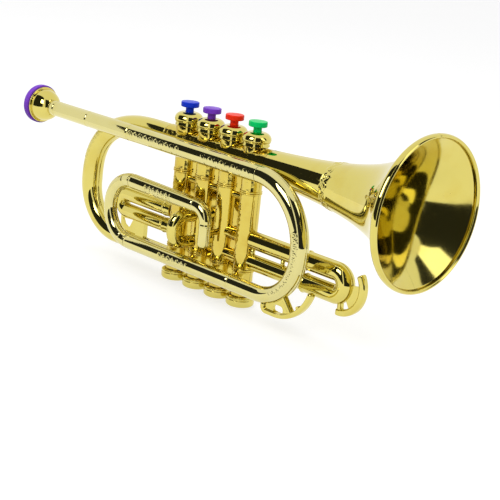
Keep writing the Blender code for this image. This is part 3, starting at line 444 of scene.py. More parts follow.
# A colour that darkens to the given share of itself in the rubbed patches.
def patchedColour(tree, dirt, colour, share):
    darker = tuple(channel * share for channel in colour[:3]) + (1.0,)
    return mixColour(tree, dirt.outputs["Patches"], colour, darker)


# A roughness that grows by a share of each of the masks.
def growingRoughness(tree, roughness, *steps):
    for mask, share in steps:
        roughness = mathNode(tree, "MULTIPLY_ADD", mask, share, roughness)
    return roughness


# Metallised plastic: a thin bright metal film under yellow lacquer, so both metal and clear coat.
def goldPlate(name, look, ripple, dust, waveScale=45.0):
    material, tree, shader, place = makeShader(name)
    dirt = useGroup(tree, dust, {"Place": place})
    waves = useGroup(tree, ripple, {"Place": place, "Wave Scale": waveScale})
    scroll, inside = [addNode(tree, "ShaderNodeAttribute", attribute_name=word).outputs["Fac"]
                      for word in ("scroll", "inside")]
    rough = growingRoughness(tree, look["roughness"], (dirt.outputs["Specks"], look["dustRoughness"]),
                             (scroll, look["scrollRoughness"]),
                             (dirt.outputs["Patches"], look["patchRoughness"]),
                             (inside, look["insideRoughness"]))
    fillInputs(tree, shader, {
        "Base Color": mixColour(tree, dirt.outputs["Patches"], look["tint"], look["deepTint"]),
        "Roughness": rough, "Normal": bumpNormal(tree, waves.outputs["Height"], look["waveDistance"]),
        "Metallic": 1.0, "Coat Weight": look["coat"], "Coat Roughness": look["coatRoughness"],
    })
    return material


plasticLook = {
    "speckScale": 900.0, "waveScale": 160.0, "peelScale": 1500.0, "peelShare": 0.3, "patchShare": 0.82,
    "patchRoughness": 0.12, "dustRoughness": 0.2, "waveDistance": 0.04 * mm, "specular": 0.08,
    "subsurface": 0.08, "scatter": 1.5 * mm,
}


# Dyed moulded plastic: a soft sheen, faint flow marks and a little dust.
def colouredPlastic(name, colour, ripple, dust, roughness=0.28):
    material, tree, shader, place = makeShader(name)
    look = plasticLook
    dirt = useGroup(tree, dust, {"Place": place, "Speck Scale": look["speckScale"]})
    waves = useGroup(tree, ripple, {"Place": place, "Wave Scale": look["waveScale"],
                                    "Peel Scale": look["peelScale"], "Peel Share": look["peelShare"]})
    rough = growingRoughness(tree, roughness, (dirt.outputs["Patches"], look["patchRoughness"]),
                             (dirt.outputs["Specks"], look["dustRoughness"]))
    fillInputs(tree, shader, {
        "Base Color": patchedColour(tree, dirt, colour, look["patchShare"]), "Roughness": rough,
        "Normal": bumpNormal(tree, waves.outputs["Height"], look["waveDistance"]),
        "Specular IOR Level": look["specular"], "Subsurface Weight": look["subsurface"],
        "Subsurface Radius": (look["scatter"],) * 3, "Subsurface Scale": 1.0,
    })
    return material


# Finish for what is hidden in the casings: rubber, spring wire and reed plate.
def innerFinish(name, colour, roughness, metallic, dust):
    material, tree, shader, place = makeShader(name)
    dirt = useGroup(tree, dust, {"Place": place, "Patch Scale": 300.0})
    rough = growingRoughness(tree, roughness, (dirt.outputs["Patches"], 0.15))
    fillInputs(tree, shader, {"Base Color": patchedColour(tree, dirt, colour, 0.7), "Roughness": rough,
                              "Metallic": metallic})
    return material


ripple, dust = mouldRippleGroup(), dustGroup()
gold = goldPlate("goldPlate", goldFinish, ripple, dust)
# The same film with painted reflection in its tint: paler on the front tubes and warmer on the valve block,
# standing in for reflections that this room lacks.
paleReflectionFinish = dict(goldFinish, tint=(0.71, 0.64, 0.26, 1.0), deepTint=(0.69, 0.61, 0.21, 1.0))
warmReflectionFinish = dict(goldFinish, tint=(0.68, 0.54, 0.10, 1.0), deepTint=(0.62, 0.45, 0.07, 1.0),
                  roughness=0.06, waveDistance=0.22 * mm)
# Painted reflection: the paler tint for the front tubes and the warmer tint for the valve block.
paleReflectionGold = goldPlate("paleReflectionGoldPlate", paleReflectionFinish, ripple, dust)
warmReflectionGold = goldPlate("warmReflectionGoldPlate", warmReflectionFinish, ripple, dust, waveScale=150.0)
keyColours = {"blue": (0.008, 0.040, 0.62, 1.0), "violet": (0.21, 0.050, 0.62, 1.0),
              "red": (0.90, 0.030, 0.005, 1.0), "green": (0.002, 0.62, 0.15, 1.0)}
keyPlastics = [colouredPlastic(f"{word}Plastic", colour, ripple, dust) for word, colour in keyColours.items()]
lipPlastic = colouredPlastic("lipPlastic", (0.21, 0.055, 0.58, 1.0), ripple, dust, 0.34)
rubber = innerFinish("sealRubber", (0.02, 0.02, 0.02, 1.0), 0.75, 0.0, dust)
wireSteel = innerFinish("wireSteel", (0.62, 0.62, 0.64, 1.0), 0.25, 1.0, dust)
reedBrass = innerFinish("reedBrass", (0.74, 0.55, 0.24, 1.0), 0.3, 1.0, dust)
print("finishes made")

bellShape = {
    "height": 102.4 * mm, "core": 4.32, "flare": 3.7147, "power": 1.344, "beyond": 254.5, "wall": 1.8,
    "start": 86.01, "lipBack": 214.3, "front": 219.5, "rim": 50.2, "lipHalf": 1.5,
    "bandLow": 140.5, "bandHigh": 149.0, "bandSize": 6.0 * mm, "bandHeight": 0.32 * mm, "bandStretch": 0.9,
}


# R(d) = core + flare * (beyond / (beyond - d)) ^ power, in millimetres.
def bellRadius(distance):
    shape = bellShape
    return shape["core"] + shape["flare"] * (shape["beyond"] / (shape["beyond"] - distance)) ** shape["power"]


def bellBore(distance):
    slope = bellShape["power"] * (bellRadius(distance) - bellShape["core"]) / (bellShape["beyond"] - distance)
    return bellRadius(distance) - bellShape["wall"] * np.hypot(1, slope)


# Places along the bell's axis, closer towards the rim, with the lip's bead rolled over the end.
def bellPath():
    shape, back, least = bellShape, bellShape["lipBack"], 0.02
    flare = shape["beyond"] - np.geomspace(shape["beyond"] - shape["start"], shape["beyond"] - back, 110)
    band = np.arange(shape["bandLow"] - 1, shape["bandHigh"] + 1, 0.3)
    flare = np.unique(np.concatenate([flare, band]))
    lip = np.linspace(0, 1, 40)
    width = shape["front"] - back
    lipPlace = back + width * (0.5 - 0.5 * np.cos(np.pi * lip))
    off = 2 * (lipPlace - back) / width - 1
    bulge = shape["lipHalf"] * np.sqrt(np.clip(1 - off ** 2, 0, 1))
    middle = shape["rim"] - shape["lipHalf"]
    outerLip = middle + np.maximum(bulge, least)
    slope = (bellBore(back) - bellBore(back - 0.5)) / 0.5
    funnel = bellBore(back) + slope * (lipPlace - back)
    innerLip = np.minimum(funnel, middle - np.maximum(bulge, least))
    place = np.concatenate([flare[:-1], lipPlace])
    outer = np.concatenate([bellRadius(flare[:-1]), outerLip]) * mm
    inner = np.concatenate([bellBore(flare[:-1]), innerLip]) * mm
    flat = np.zeros(len(place))
    return {
        "centre": np.stack([fromValve(place), flat, flat + shape["height"]], -1),
        "across": np.stack([flat, flat, flat + 1], -1),
        "sideways": yAxis, "outer": outer, "inner": inner, "length": place * mm,
    }


# A band of scrollwork round the whole tube: u runs round it and v along it.
def bellScroll(length, turn, outer):
    shape = bellShape
    middle = (shape["bandLow"] + shape["bandHigh"]) / 2 * mm
    half = (shape["bandHigh"] - shape["bandLow"]) / 2 * mm
    v = length - middle
    fade = np.clip((half - np.abs(v)) / (0.6 * mm), 0, 1)
    return scrollHeight(turn * outer * shape["bandStretch"], v, shape["bandSize"], shape["bandHeight"]) * fade


tubePair("bell", "bell", bellPath(), gold, bellScroll, 128)
print("bell made")

rearBow = {"reach": -101.85, "topRadius": 7.35, "radius": 7.9, "lowRadius": 6.2, "lowHeight": 14.5,
           "drop": 53.0037, "lowTurn": 34.8963, "length": 72.75, "power": 2.57, "step": -17.0,
           "lowEnd": -35.0, "straight": 12.4, "topLength": 103.0, "narrowing": 55.0,
           "lowerTube": (-34.7, -7.2)}
rearBand = {"low": 62.0 * mm, "high": 100.0 * mm, "size": 4.2 * mm, "height": 0.22 * mm}


# A squarish oval top turn, then a round turn down to the tube under the casings.
def rearBowLine():
    b = rearBow
    left, height = b["reach"], bellShape["height"] / mm
    angle = np.linspace(0, np.pi / 2, 241)
    out, rise = np.sin(angle) ** (2 / b["power"]), np.cos(angle) ** (2 / b["power"])
    top = np.stack([left + b["length"] * (1 - out), height - b["drop"] * (1 - rise)], -1)
    low = turnLine(left + b["lowTurn"], b["lowHeight"] + b["lowTurn"], b["lowTurn"], -90, -180)
    return toWorld(joinLines([[b["step"], height]], top, low, [[b["lowEnd"], b["lowHeight"]]]))


def rearBowRadius(place, total):
    b = rearBow
    straight = b["straight"] * mm
    topEnd = straight + b["topLength"] * mm
    share = np.clip((place - straight) / (topEnd - straight), 0, 1)
    low = np.clip((place - topEnd) / (b["narrowing"] * mm), 0, 1)
    swell = (b["radius"] - b["topRadius"]) * share ** 2
    radius = b["topRadius"] + swell + (b["lowRadius"] - b["radius"]) * low
    start = bellRadius(b["step"]) - b["topRadius"]
    return radius * mm + start * mm * np.exp(-(place / (0.5 * mm)) ** 2)


rearPath = followLine(rearBowLine(), rearBowRadius, spacing=1.2 * mm, outward=-1,
                      fine=[fineOver(rearBand, 0.35 * mm), (0, 3 * mm, 0.2 * mm)])
tubePair("rearBow", "rear_bow", rearPath, gold, bandRelief(rearBand, np.radians(70)))
rearRun = [(x, rearBow["lowHeight"]) for x in rearBow["lowerTube"]]
rearLower = followLine(toWorld(rearRun), rearBow["lowRadius"] * mm)
tubePair("rearLowerTube", "rear_lower_tube", rearLower, gold)
print("rear bow made")

loop = {
    "pipeHeight": 100.3, "pipeStart": -129.2, "shankRadius": 5.75, "pipeRadius": 5.95, "pipeEnd": 93.1,
    "shankLength": 20.0, "shankSwell": 60.0, "ringDepth": 0.45 * mm, "ringWidth": 0.5 * mm,
    "rings": (-124.6, -84.8, -37.4), "reach": 135.4, "topTurn": 41.9976, "lowTurn": 34.0024,
    "bowPlaces": (0, 33, 66, 69, 122.4, 151.7), "bowRadii": (5.95, 6.4, 6.2, 6.2, 5.5, 5.5),
    "lowHeight": 21.3, "lowRadius": 5.5, "bowEnd": 77.1, "joint": 0.3,
    "smallReach": -54.7, "smallTurn": 22.45, "smallRadii": (5.25, 4.7, 5.15), "smallGroove": 7.0,
    "smallHeight": 65.1, "smallRise": 1.1, "tubeRadii": (5.4, 5.1, 5.1, 4.3, 4.3), "tubeRing": 67.2,
    "tubeBend": 68.6, "tubeNarrowing": 15.7, "tubeCollar": (15.2, 16.6), "tubeTip": 2.6,
    "elbowX": 46.64, "elbowTurn": 10.0, "elbowRing": 5.4, "elbowRadius": 4.3, "elbowDrop": 27.6,
}
pipeScroll = {"low": 94.0 * mm, "high": 220.0 * mm, "size": 5.6 * mm, "height": 0.17 * mm}
ringPlaces = [(ring - loop["pipeStart"]) * mm for ring in loop["rings"]]


# The thin shank widens to the pipe, and three turned rings mark it.
def pipeRadius(place, total):
    share = np.clip((place - loop["shankLength"] * mm) / (loop["shankSwell"] * mm), 0, 1)
    radius = (loop["shankRadius"] + (loop["pipeRadius"] - loop["shankRadius"]) * share) * mm
    for spot in ringPlaces:
        radius = radius - ringGroove(place, spot, loop["ringDepth"], loop["ringWidth"])
    return radius


pipeFine = [(spot - 2 * mm, spot + 2 * mm, 0.15 * mm) for spot in ringPlaces]
pipeRun = [(x, loop["pipeHeight"]) for x in (loop["pipeStart"], loop["pipeEnd"])]
pipePath = followLine(toWorld(pipeRun), pipeRadius, y=loopY, soft=(1.0, 0.15),
                      fine=pipeFine + [fineOver(pipeScroll, 0.4 * mm)])
pipeBreaks = [(149 * mm, 171 * mm)]
tubePair("leadpipe", "leadpipe", pipePath, paleReflectionGold, bandRelief(pipeScroll, breaks=pipeBreaks, thin=1.8))


def frontBowLine():
    top, low = loop["topTurn"], loop["lowTurn"]
    topX, lowX = loop["reach"] - top, loop["reach"] - low
    return toWorld(joinLines(turnLine(topX, loop["pipeHeight"] - top, top, 0, 90),
                             turnLine(lowX, loop["lowHeight"] + low, low, 90, 180),
                             [[loop["bowEnd"], loop["lowHeight"]]]))


def frontBowRadius(place, total):
    return np.interp(place, np.array(loop["bowPlaces"]) * mm, np.array(loop["bowRadii"]) * mm)


bowScroll = {"low": 52 * mm, "high": 106 * mm, "size": 4.4 * mm, "height": 0.24 * mm}
bowPath = followLine(frontBowLine(), frontBowRadius, y=loopY, soft=(0.15, 1.0),
                     fine=[fineOver(bowScroll, 0.35 * mm)])
tubePair("frontBow", "front_bow", bowPath, paleReflectionGold, bandRelief(bowScroll, np.radians(84)),
         frost=frostBand(bowScroll, 1.0, 2.3))

lowerStart = loop["smallReach"] + loop["smallTurn"] + loop["joint"]
lowerEnd = loop["bowEnd"] - loop["joint"]
lowerLength = (lowerEnd - lowerStart) * mm
lowerScroll = {"low": 38 * mm, "high": 70 * mm, "size": 4.8 * mm, "height": 0.24 * mm}


def lowerRadius(place, total):
    return loop["lowRadius"] * mm - endGroove(place) - endGroove(total - place)


lowerRun = [(x, loop["lowHeight"]) for x in (lowerStart, lowerEnd)]
lowerPath = followLine(toWorld(lowerRun), lowerRadius, y=loopY,
                       fine=[fineOver(lowerScroll, 0.4 * mm), (0, 2 * mm, 0.15 * mm),
                             (lowerLength - 2 * mm, lowerLength, 0.15 * mm)])
tubePair("lowerTube", "lower_tube", lowerPath, paleReflectionGold, bandRelief(lowerScroll))


def smallBowLine():
    turn = loop["smallTurn"]
    return toWorld(turnLine(loop["smallReach"] + turn, loop["lowHeight"] + turn, turn, -180, 0))


# Straight tapers from each end to the narrow middle, with a groove near each end.
def smallBowRadius(place, total):
    radius = np.interp(place / total, [0, 0.5, 1], loop["smallRadii"]) * mm
    for spot in (loop["smallGroove"] * mm, total - loop["smallGroove"] * mm):
        radius = radius - ringGroove(place, spot, 0.28 * mm, 0.5 * mm)
    return radius


smallFine = [(5 * mm, 9 * mm, 0.15 * mm), (61.5 * mm, 65.5 * mm, 0.15 * mm)]
smallBowPath = followLine(smallBowLine(), smallBowRadius, y=loopY, fine=smallFine)
tubePair("smallBow", "small_bow", smallBowPath, paleReflectionGold)


def smallTubeLine():
    z, turn, x = loop["smallHeight"], loop["elbowTurn"], loop["elbowX"]
    ring = x - turn - loop["elbowRing"]
    return toWorld(joinLines([[lowerStart, z + loop["smallRise"]], [ring - 1, z + 0.03], [ring + 1, z]],
                             turnLine(x - turn, z - turn, turn, 0, 90), [[x, z - loop["elbowDrop"]]]))


# Tapers, a ring before the elbow and a collar after it, then a rounded tip: r - tip * (1 - sqrt(1 - t^2)).
def smallTubeRadius(place, total):
    ring, bend = loop["tubeRing"] * mm, loop["tubeBend"] * mm
    places = [0, ring, bend, bend + loop["tubeNarrowing"] * mm, total]
    radius = np.interp(place, places, np.array(loop["tubeRadii"]) * mm)
    radius = radius - ringGroove(place, ring, 0.35 * mm, 0.5 * mm) - endGroove(place)
    near, far = loop["tubeCollar"]
    radius = radius + ringBead(total - place, near * mm, far * mm, 0.3 * mm)
    tip = np.clip(1 - (total - place) / (3 * mm), 0, 1)
    return radius - loop["tubeTip"] * mm * (1 - np.sqrt(1 - tip ** 2))


tipScroll = {"low": 18 * mm, "high": 47 * mm, "size": 4.4 * mm, "height": 0.24 * mm}
smallPath = followLine(smallTubeLine(), smallTubeRadius, y=loopY,
                       fine=[fineOver(tipScroll, 0.4 * mm), (0, 2 * mm, 0.15 * mm),
                             (65 * mm, 69 * mm, 0.15 * mm), (84 * mm, 103 * mm, 0.3 * mm)])
tubePair("smallTube", "small_tube", smallPath, paleReflectionGold, bandRelief(tipScroll))
print("loops made")

slideRoot = 7.3
third = {"turnX": 153.0, "high": 48.3, "low": 32.9, "turn": 7.7, "upper": 6.2, "lower": 5.7, "sleeve": 6.35,
         "sleeveStart": 126.0, "bead": 1.6 * mm, "beadRise": 0.6 * mm, "step": 0.6 * mm,
         "posts": (77.2, 106.0), "postSink": 1.3, "postShift": 1.8 * mm, "postRadius": 1.5 * mm}
thirdRoot = lastValve / mm - firstValve / mm + slideRoot
sleevePlace = (third["sleeveStart"] - thirdRoot) * mm


# A slide from a casing and back to it: out along one height, a half turn, and back along the other.
def slideLine(root, shape, turn, end):
    return toWorld(joinLines([[root, shape["high"]]],
                             turnLine(shape["turnX"], shape["low"] + turn, turn, 0, end),
                             [[root, shape["low"]]]))


# The sleeve round the turn starts with a bead on each tube.
def thirdRadius(place, total):
    step, fromEnd = third["step"], total - sleevePlace - place
    inSleeve = np.clip((place - sleevePlace) / step, 0, 1) * np.clip(fromEnd / step, 0, 1)
    ends = np.where(place < total / 2, third["upper"], third["lower"]) * mm
    beads = beadPair(place, total, sleevePlace, sleevePlace + third["bead"], third["beadRise"])
    return ends + (third["sleeve"] * mm - ends) * inSleeve + beads


thirdPath = followLine(slideLine(thirdRoot, third, third["turn"], 180), thirdRadius, spacing=0.8 * mm,
                       fine=[(sleevePlace - 1.5 * mm, sleevePlace + 3 * mm, 0.12 * mm)])
tubePair("thirdSlide", "third_slide", thirdPath, gold)

first = {"turnX": -57.5, "high": 48.5, "low": 35.9, "radius": 5.4, "bead": (5 * mm, 7 * mm),
         "rise": 0.35 * mm}
firstTurn = (first["high"] - first["low"]) / 2


def firstRadius(place, total):
    return first["radius"] * mm + beadPair(place, total, *first["bead"], first["rise"])


firstPath = followLine(slideLine(-slideRoot, first, firstTurn, -180), firstRadius, spacing=0.8 * mm,
                       outward=-1, fine=[(3 * mm, 9 * mm, 0.2 * mm)])
tubePair("firstSlide", "first_slide", firstPath, gold)

second = {"high": 52.6, "low": 33.6, "radius": 4.4, "turn": 8.0, "reach": 22.0, "shift": 5.3,
          "root": 6.6}


# The same as a tube in an upright plane, turned about the second valve.
def secondPath():
    length, turn = math.hypot(second["reach"], second["shift"]), second["turn"]
    line = joinLines([[second["root"], second["high"]]],
                     turnLine(length - turn, second["high"] - turn, turn, 0, 90),
                     turnLine(length - turn, second["low"] + turn, turn, 90, 180),
                     [[second["root"], second["low"]]]) * mm
    path = followLine(line, second["radius"] * mm, spacing=0.6 * mm)
    out = np.array([-second["shift"], -second["reach"], 0.0]) / length
    up = np.array([0.0, 0.0, 1.0])
    base = np.array([valveXs[1], 0.0, 0.0])
    for key in ("centre", "across"):
        flat = path[key]
        path[key] = flat[:, :1] * out + flat[:, 2:] * up + (base if key == "centre" else 0.0)
    path["sideways"] = np.cross(up, out)
    return path


tubePair("secondSlide", "second_slide", secondPath(), gold)
print("slides made")

casing = {"radius": 7.31, "bore": 6.0, "foot": 3.7, "collarFoot": 106.5, "collar": 8.51, "top": 112.6,
          "ferrules": (24.5, 79.6), "ferruleStep": 1.35, "rise": 0.5, "floor": 51.0, "floorTop": 53.0,
          "hole": 2.0, "sides": 96, "scroll": (31.0, 77.0), "scrollSize": 3.6 * mm, "scrollRise": 0.2 * mm,
          "scrollAngle": 112}


# Outside from the foot up, with two bands at each ferrule and the wider collar, closed on the axis.
def casingProfile():
    c, radius, wide = casing, casing["radius"], casing["radius"] + casing["rise"]
    outside = [(0, c["foot"], 0), (radius, c["foot"], 0.4)]
    for foot in c["ferrules"]:
        for low in (foot, foot + c["ferruleStep"]):
            outside += [(radius, low - 0.35, 0.15), (wide, low, 0.25), (wide, low + 0.85, 0.25),
                        (radius, low + 1.1, 0.15)]
    outside += [(radius, c["collarFoot"], 0.3), (c["collar"], c["collarFoot"], 0.5),
                (c["collar"], c["top"], 0.5), (0, c["top"], 0)]
    return roundCorners(outside)


# The casing's outside as a solid, with faint scrollwork on the two sides that its seam doesn't cross.
def casingSolid(name, x):
    c, profile = casing, casingProfile()
    start, end = c["scroll"]
    extra = np.arange(start, end, 0.4) * mm
    low = profile[profile[:, 1] <= extra[0]]
    high = profile[profile[:, 1] >= extra[-1]]
    profile = np.concatenate([low, np.stack([np.full(len(extra), c["radius"] * mm), extra], -1), high])
    mesh = latheMesh(name, profile, (x, 0.0, 0.0), "z", c["sides"])
    co = np.zeros(len(mesh.vertices) * 3, np.float32)
    mesh.vertices.foreach_get("co", co)
    co = co.reshape(-1, 3).astype(float)
    out = co[:, :2] - np.array([x, 0.0])
    radius = np.hypot(out[:, 0], out[:, 1])
    angle = np.arctan2(out[:, 1], out[:, 0])
    height = co[:, 2]
    side = np.abs(radius - c["radius"] * mm) < 0.02 * mm
    zone = np.clip((height - start * mm) / mm, 0, 1) * np.clip((end * mm - height) / mm, 0, 1)
    for centre in np.radians([-c["scrollAngle"], c["scrollAngle"]]):
        v = ((angle - centre + np.pi) % (2 * np.pi) - np.pi) * radius
        raised = scrollHeight(height, v, c["scrollSize"], c["scrollRise"]) * zone * side
        factor = 1 + raised / np.maximum(radius, 1e-6)
        co[:, 0] = x + (co[:, 0] - x) * factor
        co[:, 1] *= factor
    mesh.vertices.foreach_set("co", co.astype(np.float32).ravel())
    return mesh


# A round rod between two points, with its ends closed.
def rodMesh(name, start, end, radius, count=48):
    start, end = np.array(start, dtype=float), np.array(end, dtype=float)
    run = (end - start) / np.linalg.norm(end - start)
    first = np.cross(run, [0.0, 0.0, 1.0] if abs(run[2]) < 0.5 else [1.0, 0.0, 0.0])
    first /= np.linalg.norm(first)
    other = np.cross(run, first)
    angle = np.linspace(0, 2 * np.pi, count, endpoint=False)[:, None]
    ring = (np.cos(angle) * first + np.sin(angle) * other) * radius
    return loftMesh(name, np.stack([start + ring, end + ring]))


# Puts further closed shapes into a finished piece's mesh.
def addShapes(piece, meshes):
    shape = bmesh.new()
    shape.from_mesh(piece.data)
    for mesh in meshes:
        mesh.shade_smooth()
        shape.from_mesh(mesh)
        bpy.data.meshes.remove(mesh)
    shape.to_mesh(piece.data)
    shape.free()


postEnds = [third["low"] + third["lower"] - third["postSink"],
            third["high"] - third["upper"] + third["postSink"]]
posts = []
for place in third["posts"]:
    foot, head = [(fromValve(place), -third["postShift"], end * mm) for end in postEnds]
    posts.append(rodMesh("post", foot, head, third["postRadius"]))
addShapes(bpy.data.objects["thirdSlide.near"], posts)
print("slide posts made")


def boxMesh(name, low, high):
    low, high = np.array(low), np.array(high)
    corner = np.array([[0, 0, 0], [1, 0, 0], [1, 1, 0], [0, 1, 0],
                       [0, 0, 1], [1, 0, 1], [1, 1, 1], [0, 1, 1]])
    faces = np.array([[0, 3, 2, 1], [4, 5, 6, 7], [0, 1, 5, 4], [1, 2, 6, 5], [2, 3, 7, 6], [3, 0, 4, 7]])
    return meshFromFaces(name, low + corner * (high - low), [faces])


# The base joined with the added solids, less the removed ones, as one finished mesh.
def combine(name, base, added, removed):
    holder = bpy.data.objects.new(name, base)
    bpy.context.scene.collection.objects.link(holder)
    helpers = []
    for operation, meshes in (("UNION", added), ("DIFFERENCE", removed)):
        for mesh in meshes:
            helper = bpy.data.objects.new("helper", mesh)
            bpy.context.scene.collection.objects.link(helper)
            helpers.append(helper)
            modifier = holder.modifiers.new(operation, "BOOLEAN")
            modifier.operation, modifier.object, modifier.solver = operation, helper, "MANIFOLD"
    bpy.context.view_layer.update()
    graph = bpy.context.evaluated_depsgraph_get()
    result = bpy.data.meshes.new_from_object(holder.evaluated_get(graph))
    for obj in helpers + [holder]:
        bpy.data.objects.remove(obj)
    return result


# The bell's tube from start to end as a solid of revolution about its axis.
def bellTubeSolid(name, radiusAt, start, end):
    distance = np.linspace(start, end, 60)
    radius = radiusAt(distance)
    rows = np.stack([np.r_[0, radius, 0], np.r_[start, distance, end]], -1) * mm
    return latheMesh(name, rows, (firstValve, 0.0, bellShape["height"]), "x", 96)


# The two chambers in a casing, and the rod's hole through the floor between them.
def chamberSolids(x):
    c = casing
    spans = [("low", 1, c["floor"], c["bore"], 72),
             ("hole", c["floor"] - 1, c["floorTop"] + 1, c["hole"], 32),
             ("high", c["floorTop"], c["top"] + 2, c["bore"], 72)]
    return [rodMesh(name, (x, 0, foot * mm), (x, 0, head * mm), radius * mm, count)
            for name, foot, head, radius, count in spans]


block = {"neck": (-16.7, 85.71), "bore": (-18.0, 87.0), "knuckle": 75.6 * mm, "knuckleRadius": 2.6 * mm,
         "webInset": 3 * mm, "webHalf": 1 * mm, "webFoot": 8.6 * mm, "portRadius": 4.9 * mm,
         "padRadius": 2.2 * mm, "padReach": 0.25, "elbowPad": 47.0}


# The four casings, the bell's tube through their tops, and the small rods between and in front of them.
def valveBlock():
    b = block
    base = bellTubeSolid("block", bellRadius, *b["neck"])
    added, removed = [], []
    for number, x in enumerate(valveXs):
        added.append(casingSolid(f"casing{number}", x))
        removed += chamberSolids(x)
    added.append(rodMesh("knuckles", (firstValve, 0, b["knuckle"]), (lastValve, 0, b["knuckle"]),
                         b["knuckleRadius"]))
    webLow = (firstValve + b["webInset"], -b["webHalf"], b["webFoot"])
    webHigh = (lastValve - b["webInset"], b["webHalf"], bellShape["height"])
    added.append(boxMesh("web", webLow, webHigh))
    for height in (third["high"] * mm, third["low"] * mm):
        added.append(rodMesh("port", (valveXs[2], 0, height), (lastValve, 0, height), b["portRadius"]))
    pads = [(0, loop["pipeHeight"], loop["pipeRadius"]), (3, loop["pipeHeight"], loop["pipeRadius"]),
            (1, loop["lowHeight"], loop["lowRadius"]), (3, loop["lowHeight"], loop["lowRadius"]),
            (2, b["elbowPad"], loop["elbowRadius"])]
    for number, height, radius in pads:
        x, z, reach = valveXs[number], height * mm, loopY + (radius + b["padReach"]) * mm
        added.append(rodMesh("pad", (x, 0, z), (x, reach, z), b["padRadius"]))
    removed.append(bellTubeSolid("bore", bellBore, *b["bore"]))
    return combine("valveBlock", base, added, removed)


def keepHalf(mesh, name, side):
    reach = 0.5
    y = sorted((side * seam["half"] * 2, -side * reach))
    return combine(name, mesh, [], [boxMesh("otherSide", (-reach, y[0], -reach), (reach, y[1], reach))])


blockMesh = valveBlock()
for word, side in halves.items():
    half = keepHalf(blockMesh.copy(), f"valveBlock.{word}", side)
    placePiece(addPiece(f"valveBlock.{word}", half, warmReflectionGold, 32), "trumpet", f"valve_block_{word}_half")
print("valve block made")

topCap = {"foot": 112.9, "radius": 10.135, "footRadius": 9.1, "bead": 9.8, "flat": 4.4, "hole": 3.2,
          "height": 9.3, "wide": 4.3, "wall": 2.0}
bottomCap = {"radius": 9.985, "bevel": 1.2, "height": 7.4, "inner": 7.61, "floor": 3.4, "vent": 2.5,
             "groove": 0.35}
keyShape = {"disc": 6.42, "under": 125.8, "top": 129.6, "stem": 2.9, "pistonTop": 87.0, "pistonFoot": 75.0,
            "piston": 5.6, "rod": 1.4, "headTop": 48.4, "head": 2.6, "headFoot": 46.9, "roll": 0.9,
            "crown": 0.15}
coil = {"radius": 4.2 * mm, "wire": 0.45 * mm, "low": 53.75 * mm, "high": 74.25 * mm, "turns": 4}


# A domed cap, (r, h) = flat + (wide - flat) sin a, crown cos a, over a short foot with a turned groove.
def topCapProfile():
    c, hole, neck = topCap, topCap["hole"], topCap["footRadius"]
    base, wide, top = c["foot"], c["foot"] + c["wide"], c["foot"] + c["height"]
    angle = np.linspace(0, np.pi / 2, 24)
    crown = np.stack([c["flat"] + (c["radius"] - c["flat"]) * np.sin(angle),
                      wide + (top - wide) * np.cos(angle)], -1) * mm
    foot = roundCorners([(c["radius"], wide, 0), (c["radius"], wide - 0.75, 0.5),
                         (neck + 0.1, wide - 0.9, 0.2), (neck + 0.1, wide - 1.15, 0.1),
                         (c["bead"], wide - 1.2, 0.3),
                         (c["bead"], wide - 1.8, 0.3), (neck - 0.15, wide - 1.95, 0.15),
                         (neck + 0.45, base, 0.3), (neck - c["wall"], base, 0.2),
                         (neck - c["wall"], wide, 1.0), (hole, top - c["wall"], 0.3), (hole, top - 0.25, 0)])
    lip = roundCorners([(hole, top - 0.25, 0), (hole, top, 0.25), (c["flat"], top, 0)])
    return np.concatenate([lip[:-1], crown, foot[1:-1]])


# A cup with bevelled edges, a groove near its top and a vent through its floor.
def bottomCapProfile():
    c, bevel, radius = bottomCap, bottomCap["bevel"], bottomCap["radius"]
    high, vent, groove = c["height"], c["vent"], radius - c["groove"]
    return roundCorners([(vent, 0.2, 0), (vent, 0, 0.3), (radius - bevel, 0, 1.0), (radius, bevel, 1.0),
                         (radius, high - 2.6, 0.3), (groove, high - 2.3, 0.3), (groove, high - 2.0, 0.3),
                         (radius, high - 1.7, 0.3), (radius, high - bevel + 0.4, 0.6),
                         (radius - bevel, high, 0.6), (c["inner"], high, 0.2),
                         (c["inner"], c["floor"], 0.2), (vent, c["floor"], 0.2), (vent, 0.2, 0)])[:-1]


# A finger disc with a rolled edge and a faint crown, its stem, and the piston and rod inside.
def keyProfile():
    k, disc, top, under = keyShape, keyShape["disc"], keyShape["top"], keyShape["under"]
    edge = disc - k["roll"]
    share = np.linspace(0, 1, 14)
    face = np.stack([share * edge, top - k["crown"] * share ** 2], -1) * mm
    rest = roundCorners([(edge, top - k["crown"], 0), (disc, top - 0.16, 0.8), (disc, under, 0.7),
                         (k["stem"], under, 0.3), (k["stem"], k["pistonTop"], 0.2),
                         (k["piston"], k["pistonTop"], 0.3), (k["piston"], k["pistonFoot"], 0.3),
                         (k["rod"], k["pistonFoot"], 0.2), (k["rod"], k["headTop"], 0.2),
                         (k["head"], k["headTop"], 0.2), (k["head"], k["headFoot"], 0.2),
                         (0, k["headFoot"], 0)])
    return np.concatenate([face, rest[1:]])


# A coil of round wire: angle 2 pi n u, with the height rising evenly from low to high.
def springMesh(name, x):
    u = np.linspace(0, 1, 36 * coil["turns"] + 1)
    angle = 2 * np.pi * coil["turns"] * u
    out = np.stack([np.cos(angle), np.sin(angle), 0 * angle], -1)
    centre = np.array([x, 0.0, 0.0]) + out * coil["radius"]
    centre[:, 2] = coil["low"] + (coil["high"] - coil["low"]) * u
    turned = np.linspace(0, 2 * np.pi, 12, endpoint=False)[None, :, None]
    ring = out[:, None] * np.cos(turned) + np.array([0, 0, 1.0]) * np.sin(turned)
    return loftMesh(name, centre[:, None] + ring * coil["wire"])


# A turned piece on a valve's axis, in the place of its node.
def valvePiece(label, node, body, number, profile, material, count=96):
    mesh = latheMesh(label, profile, (valveXs[number - 1], 0.0, 0.0), "z", count)
    placePiece(addPiece(f"{label}.{number}", mesh, material), body, f"{node}_{number}")


